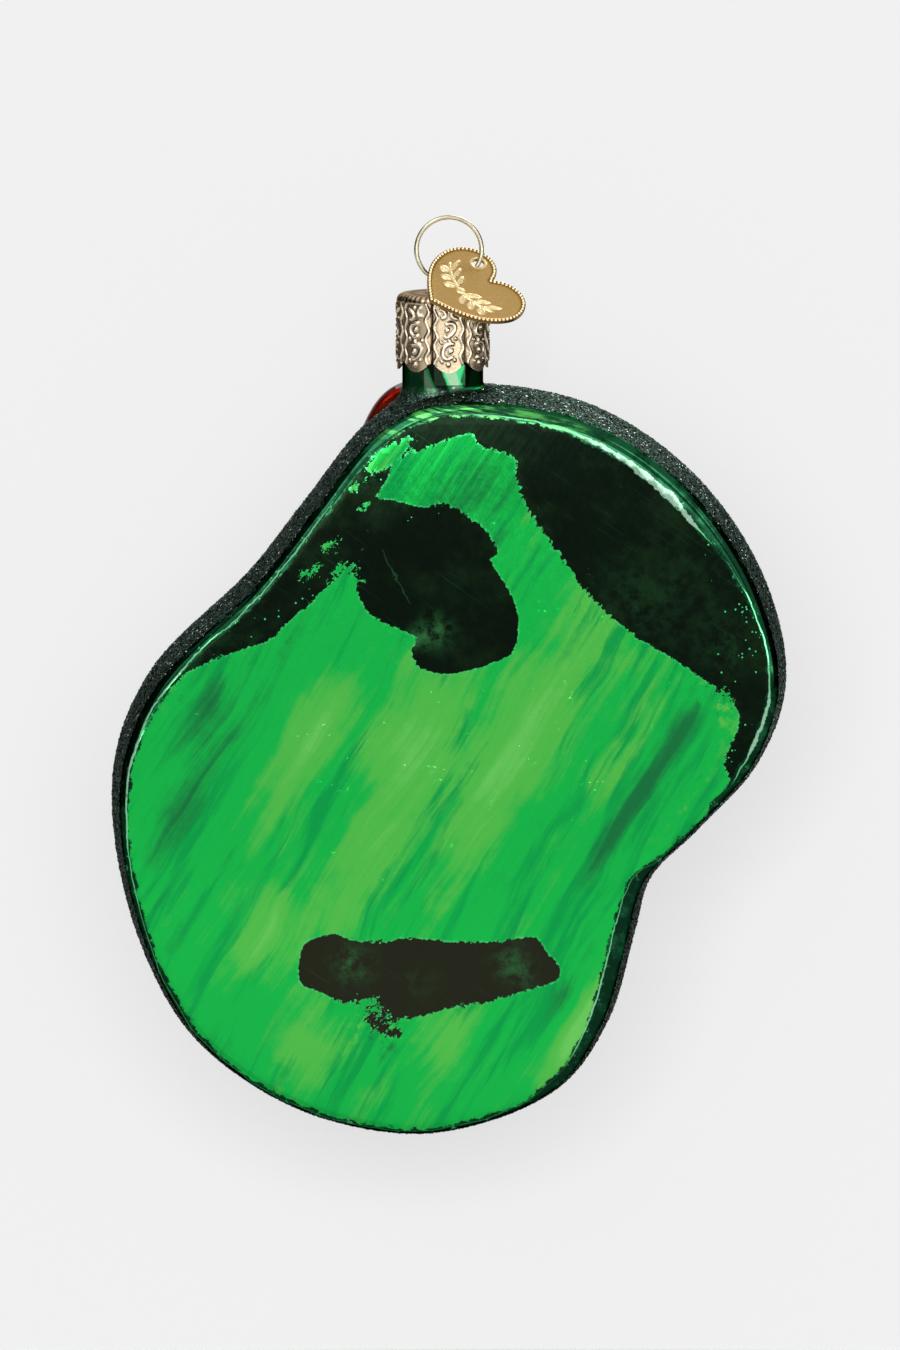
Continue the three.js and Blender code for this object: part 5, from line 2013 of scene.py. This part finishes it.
@dataclass
class HeartTag:
    """The stamped heart with its beaded rim, threaded on the ring."""

    width: float = 14.9
    height: float = 11.7
    sheet: float = 0.3
    lobe: float = 3.95
    lobe_end_deg: float = 12
    tip_half_deg: float = 66
    side_pull: float = 0.36
    hole: float = 0.74
    hole_at: Pair = (-3.66, 9.74)
    rim: float = 0.62
    rim_height: float = 0.07
    beads: int = 80
    bead: float = 0.225
    ring_radius: float = 4.17
    ring_centre_z: float = -3.87
    place_deg: float = -26.5
    yaw_deg: float = 14.4
    tilt_deg: float = 35.2
    turn_deg: float = -69.6

    def outline(self, count: int) -> np.ndarray:
        """The heart's outline as an even ring, anticlockwise from the tip at the origin.

        Args:
            count: How many points to make.

        Returns:
            The points, one row of two numbers each.
        """
        across = self.width / 2 - self.lobe
        up = self.height - self.lobe
        end = math.radians(-self.lobe_end_deg)
        notch = math.acos(-across / self.lobe)
        start = np.array([across + self.lobe * math.cos(end), up + self.lobe * math.sin(end)])
        pull = np.linalg.norm(start) * self.side_pull
        tip_turn = math.radians(self.tip_half_deg)
        near_tip = np.array([math.sin(tip_turn), math.cos(tip_turn)]) * pull
        near_lobe = start + np.array([math.sin(end), -math.cos(end)]) * pull
        t = np.linspace(0, 1, 60)[:, None]
        side = 3 * near_tip * (1 - t) ** 2 * t + 3 * near_lobe * (1 - t) * t**2 + start * t**3
        sweep = np.linspace(end, notch, 90)
        lobe = np.column_stack([across + self.lobe * np.cos(sweep), up + self.lobe * np.sin(sweep)])
        right = np.vstack([side, lobe[1:]])
        left = right[::-1][1:-1] * [-1, 1]
        return even_points(np.vstack([right, left]), count, True)

    def hang(self, points: np.ndarray) -> np.ndarray:
        """Moves points from the flat tag to where it hangs on the ring.

        Args:
            points: The flat tag's points, one row each.

        Returns:
            The moved points.
        """
        place = math.radians(self.place_deg)
        at = [self.ring_radius * math.cos(place), 0, self.ring_centre_z + self.ring_radius * math.sin(place)]
        moved = points + [-self.hole_at[0], -self.hole_at[1], self.sheet / 2]
        turns = ((self.yaw_deg, "Z"), (self.tilt_deg, "X"), (self.turn_deg, "Z"))
        yaw, tilt, turn = (np.array(Matrix.Rotation(math.radians(deg), 3, axis)) for deg, axis in turns)
        return moved @ (yaw @ tilt @ turn).T + at

    def garland(self, flat: np.ndarray) -> np.ndarray:
        """Pairs of leaves on a bent stem, the same on both sides of the heart's middle line.

        Args:
            flat: Points of the flat tag.

        Returns:
            How far the garland stands out at each point, 0 to 1.
        """
        across = np.abs(flat[:, 0])
        up = flat[:, 1] - 4.7 - 0.06 * across**2
        lift = smooth_step(-np.abs(up), -0.24, -0.05) * smooth_step(-across, -5.4, -4.9)
        lift = np.maximum(lift, smooth_step(-np.hypot(across, up), -0.62, -0.3))
        for along in (0.75, 2.2, 3.65):
            for side in (-1, 1):
                u, w = leaning(np.column_stack([across - along - 0.8, up - side * 0.82]), side * 44)
                leaf = 0.50 * (1 - (u / 1.1) ** 2) - np.abs(w)
                vein = 0.45 * smooth_step(-np.abs(w), -0.12, -0.02)
                lift = np.maximum(lift, smooth_step(leaf, -0.02, 0.2) - vein * (leaf > 0))
        return lift

    def face_height(self, flat: np.ndarray, loop: np.ndarray) -> tuple[np.ndarray, np.ndarray]:
        """The pressed face: a raised rim round a field with a leafy garland.

        Args:
            flat: Points of the flat tag.
            loop: The tag's outline.

        Returns:
            The height of each point, and its tone, with painted shade on the rim between the beads.
        """
        inside = depth_inside(loop, flat)
        rim = 1 - smooth_step(inside, self.rim - 0.12, self.rim + 0.12)
        gap = np.hypot(*(flat - self.hole_at).T)
        curl = self.garland(flat) * smooth_step(inside, self.rim + 0.3, self.rim + 0.7)
        curl *= smooth_step(gap, self.hole + 0.5, self.hole + 1.0)
        eyelet = smooth_step(-np.abs(gap - self.hole - 0.22), -0.22, -0.05)
        height = self.rim_height * rim + 0.17 * curl + 0.08 * eyelet
        # Painted shade: the rim between the beads is toned dark.
        return height, np.clip(0.30 - 0.75 * rim + np.maximum(curl, 0.6 * eyelet), -0.5, 1)

    def build(self, metal: Material) -> Thing:
        """Makes the stamped plate.

        Args:
            metal: The plate's finish.

        Returns:
            The piece.
        """
        loop = self.outline(240)
        circle = np.array(self.hole_at) + self.hole * circle_points(48)
        grid = hex_grid(loop.min(0), loop.max(0), 0.13)
        apart = np.hypot(*(grid - self.hole_at).T)
        grid = grid[(depth_inside(loop, grid) > 0.08) & (apart > self.hole + 0.08)]
        flat, faces = fill_region(loop, grid, circle)
        height, share = self.face_height(flat, loop)
        low = height * 0.5 - self.sheet
        faces += [tuple(len(flat) + i for i in reversed(face)) for face in faces]
        for ring in (loop, circle):
            order = [int(np.argmin(((flat - corner) ** 2).sum(1))) for corner in ring]
            for here, there in zip(order, order[1:] + order[:1]):
                low[here] = -self.sheet
                faces.append((here, there, len(flat) + there, len(flat) + here))
        shape = Shape()
        both = np.vstack([np.column_stack([flat, height]), np.column_stack([flat, low])])
        shape.add(self.hang(both), faces)
        tag = shape.build("heart_tag_visual", weld=1e-5)
        store(tag.data, "relief", np.concatenate([share, share * 0.5]))
        shade(tag, metal, 50)
        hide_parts("heart_tag")
        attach(tag, "tag")
        return tag

    def build_beads(self, metal: Material) -> Thing:
        """Makes the row of beads that stands on the rim.

        Args:
            metal: The beads' finish.

        Returns:
            The piece.
        """
        loop = self.outline(240)
        along = np.roll(loop, -1, axis=0) - np.roll(loop, 1, axis=0)
        along /= np.linalg.norm(along, axis=1)[:, None]
        line = loop + (self.bead + 0.06) * np.column_stack([-along[:, 1], along[:, 0]])
        line = line[depth_inside(loop, line) > self.bead - 0.01]
        path = self.hang(np.column_stack([line, np.full(len(line), self.rim_height)]))
        beads = path_object("tag_beads", path, closed=True)
        grow(beads, bead_tree(), {"Count": self.beads, "Radius": self.bead * MM, "Material": metal})
        beads.data.shade_smooth()
        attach(beads, "tag")
        return beads


# The studio


@dataclass(frozen=True)
class Lamp:
    """One soft box: where it stands, its size and its power in watts."""

    name: str
    at: Place
    size: Pair
    watts: float

    def build(self, aim: Vector) -> Thing:
        """Makes the lamp, turned towards a place.

        Args:
            aim: The place that it lights.

        Returns:
            The lamp.
        """
        light = bpy.data.lights.new(self.name, "AREA")
        light.shape = "RECTANGLE"
        light.size, light.size_y = self.size
        light.energy = self.watts
        lamp = linked(self.name, light)
        lamp.location = self.at
        lamp.rotation_euler = (aim - Vector(self.at)).to_track_quat("-Z", "Y").to_euler()
        lamp.visible_camera = False
        return lamp


LAMPS = (
    Lamp("key", (-0.9, -1.5, 1.3), (1.7, 1.7), 20),
    Lamp("fill", (1.3, -1.2, 0.4), (1.0, 1.4), 4),
    Lamp("back", (0.7, 1.6, 1.1), (1.2, 1.2), 22),
    Lamp("strip", (1.0, -1.7, 0.8), (0.25, 0.9), 3),
)


@dataclass(frozen=True)
class Card:
    """One upright card round the camera, dark or glowing, which shows only in gloss.

    Its bearing is counted from the camera's side, and is positive to the right.
    """

    name: str
    from_deg: float
    to_deg: float
    reach: float
    low: float
    high: float
    tone: float = 0.015
    glow: float = 0

    def build(self) -> Thing:
        """Makes the card as a bent upright strip.

        Returns:
            The card.
        """
        turn = np.radians(np.linspace(self.from_deg, self.to_deg, 13))
        row = np.column_stack([np.sin(turn), -np.cos(turn)]) * self.reach
        points = np.vstack([np.column_stack([row, np.full(13, z)]) for z in (self.low, self.high)])
        shape = Shape()
        shape.add(points / MM, strip_faces(2, 13, around=False))
        card = shape.build(self.name)
        material, sheet, surface = new_material(self.name)
        sheet.feed(surface, {
            "Base Color": (self.tone, self.tone, self.tone, 1),
            "Roughness": 0.9,
            "Emission Color": (1, 1, 1, 1),
            "Emission Strength": self.glow,
        })
        card.data.materials.append(material)
        card.visible_camera = card.visible_diffuse = card.visible_shadow = card.visible_transmission = False
        return card


CARDS = (
    Card("left_card", -150, -54, 0.6, -0.15, 0.4, 0.09),
    Card("right_card", 68, 150, 0.6, -0.15, 0.4, 0.05),
    Card("low_panel", -24, 66, 0.55, -0.0925, -0.045, 0.5, 4.4),
)


@dataclass(frozen=True)
class Studio:
    """The pale floor and backdrop, the lamps, the world and the camera."""

    lens: float = 500
    elevation_deg: float = 7.5
    distance: float = 2.404
    target: Place = (0.00013, 0, -0.0587)
    floor_z: float = -0.15
    floor_radius: float = 3
    floor_fade: Pair = (0.35, 1.0)
    wall_y: float = 0.0165
    wall_x: float = 0.11
    wall_z: Pair = (-0.149, 0.06)
    pale: float = 0.888
    shade: float = 0.06
    # How far the painted shadow round the ornament darkens the backdrop, and its reach, way and height.
    halo_shadow: float = 0.30
    halo_reach: float = 0.017
    halo_way: Place = (-0.16, -0.60, 0.78)
    halo_from: Pair = (-0.140, -0.126)
    world_level: float = 0.5

    def dress(self, thing: Thing, material: Material, seen: Socket) -> None:
        """Gives the floor or the backdrop its material.

        Args:
            thing: The floor or the backdrop.
            material: Its material.
            seen: What its surface shows.
        """
        nodes = material.node_tree
        nodes.links.new(seen, nodes.nodes["Material Output"].inputs[0])
        thing.data.materials.append(material)

    def floor(self) -> Thing:
        """Makes the round pale floor, which runs out into the backdrop's tone far off.

        Returns:
            The floor.
        """
        shape = Shape()
        ring = circle_points(96) * self.floor_radius / MM
        shape.add(np.column_stack([ring, np.full(96, self.floor_z / MM)]), [tuple(range(96))])
        material, sheet, surface = new_material("pale_floor")
        tone = (self.pale, self.pale, self.pale)
        cloud = sheet.noise(sheet.own_place(), 3, 2, 0.5)
        faint = sheet.mix(cloud, tone, (self.pale * 0.985,) * 3)
        sheet.feed(surface, {"Base Color": faint, "Roughness": 0.8})
        away = sheet.add("ShaderNodeVectorMath", {0: sheet.own_place()}, operation="LENGTH").outputs["Value"]
        seen = sheet.rays("Is Camera Ray", "Is Glossy Ray", "Is Transmission Ray")
        far = sheet.times(sheet.smooth(away, *self.floor_fade), seen)
        haze = sheet.add("ShaderNodeEmission", {0: (*tone, 1), 1: 1.0})
        both = sheet.add("ShaderNodeMixShader", {0: far, 1: surface.outputs[0], 2: haze.outputs[0]})
        floor = shape.build("floor")
        self.dress(floor, material, both.outputs[0])
        return floor

    def wall(self) -> Thing:
        """Makes the backdrop, which shows only to the camera and only from the front, with a painted shadow
        round the ornament.

        Returns:
            The backdrop.
        """
        x, y, (low, high) = self.wall_x / MM, self.wall_y / MM, np.array(self.wall_z) / MM
        shape = Shape()
        shape.add(np.array([(-x, y, low), (x, y, low), (x, y, high), (-x, y, high)]), [(0, 1, 2, 3)])
        material, sheet, surface = new_material("pale_backdrop")
        # Painted shadow: the backdrop's glow darkens where ambient occlusion finds the ornament close.
        way = sheet.add("ShaderNodeCombineXYZ", dict(enumerate(self.halo_way))).outputs[0]
        where = {"Distance": self.halo_reach, "Normal": way}
        near = sheet.add("ShaderNodeAmbientOcclusion", where, samples=6)
        even = self.pale - 1.2 * self.shade
        up = sheet.parts(sheet.own_place())[2]
        share = sheet.times(sheet.minus(1.0, near.outputs["AO"]), sheet.smooth(up, *self.halo_from))
        tone = sheet.between(share, even, even * (1 - self.halo_shadow))
        sheet.feed(surface, {
            "Base Color": (self.shade, self.shade, self.shade, 1),
            "Roughness": 1,
            "Specular IOR Level": 0,
            "Emission Color": sheet.add("ShaderNodeCombineColor", {0: tone, 1: tone, 2: tone}).outputs[0],
            "Emission Strength": 1,
        })
        behind = sheet.add("ShaderNodeNewGeometry").outputs["Backfacing"]
        shown = sheet.times(sheet.rays("Is Camera Ray"), sheet.minus(1.0, behind))
        clear = sheet.add("ShaderNodeBsdfTransparent").outputs[0]
        both = sheet.add("ShaderNodeMixShader", {0: shown, 1: clear, 2: surface.outputs[0]})
        wall = shape.build("backdrop")
        self.dress(wall, material, both.outputs[0])
        return wall

    def world(self) -> bpy.types.World:
        """Makes the even pale world, which shines less than it shows.

        Returns:
            The world.
        """
        world = bpy.data.worlds.new("studio")
        world.use_nodes = True
        sheet = Sheet(world.node_tree)
        seen = sheet.rays("Is Camera Ray", "Is Glossy Ray", "Is Transmission Ray")
        shown = world.node_tree.nodes["Background"]
        sheet.feed(shown, {0: (self.pale, self.pale, self.pale, 1), 1: 1})
        lit = sheet.add("ShaderNodeBackground", {0: (1, 1, 1, 1), 1: self.world_level})
        both = sheet.add("ShaderNodeMixShader", {0: seen, 1: lit.outputs[0], 2: shown.outputs[0]})
        sheet.tree.links.new(both.outputs[0], world.node_tree.nodes["World Output"].inputs[0])
        bpy.context.scene.world = world
        return world

    def camera(self) -> Thing:
        """Makes the camera at the photograph's angle.

        Returns:
            The camera.
        """
        camera = linked("camera", bpy.data.cameras.new("camera"))
        camera.data.lens = self.lens
        lift = math.radians(self.elevation_deg)
        target = Vector(self.target)
        camera.location = target + self.distance * Vector((0, -math.cos(lift), math.sin(lift)))
        camera.rotation_euler = (target - camera.location).to_track_quat("-Z", "Y").to_euler()
        bpy.context.scene.camera = camera
        return camera

    def build(self) -> None:
        """Sets the studio up."""
        self.floor()
        self.wall()
        self.world()
        self.camera()
        for lamp in LAMPS:
            lamp.build(Vector(self.target))
        for card in CARDS:
            card.build()
        bpy.context.scene.view_settings.view_transform = "Standard"


def report(piece: Thing) -> None:
    """Logs one finished piece."""
    log.info("%s: %d faces", piece.name, len(piece.data.polygons))


def main() -> None:
    """Builds the ornament and its studio."""
    logging.basicConfig(level=logging.INFO, format="%(name)s: %(message)s")
    hammered, sparkle = hammered_group(), sparkle_group()
    lacquer = LacquerFinish().material(sparkle)
    glitter = GlitterFinish().material(sparkle)
    red, white = RED_PAINT.material(), WHITE_PAINT.material()
    metals = (CAP_METAL, WIRE_METAL, TAG_METAL, BEAD_METAL)
    cap_metal, wire_metal, tag_metal, bead_metal = (finish.material(hammered) for finish in metals)

    body = GlassBody()
    report(body.build(lacquer))
    report(body.build_glitter(glitter))
    report(body.build_ball(white))
    report(body.build_stick(white))
    report(body.build_flag(red))
    report(Cap().build(cap_metal))
    report(Hanger().build(wire_metal))
    tag = HeartTag()
    report(tag.build(tag_metal))
    report(tag.build_beads(bead_metal))
    Studio().build()


if __name__ == "__main__":
    main()
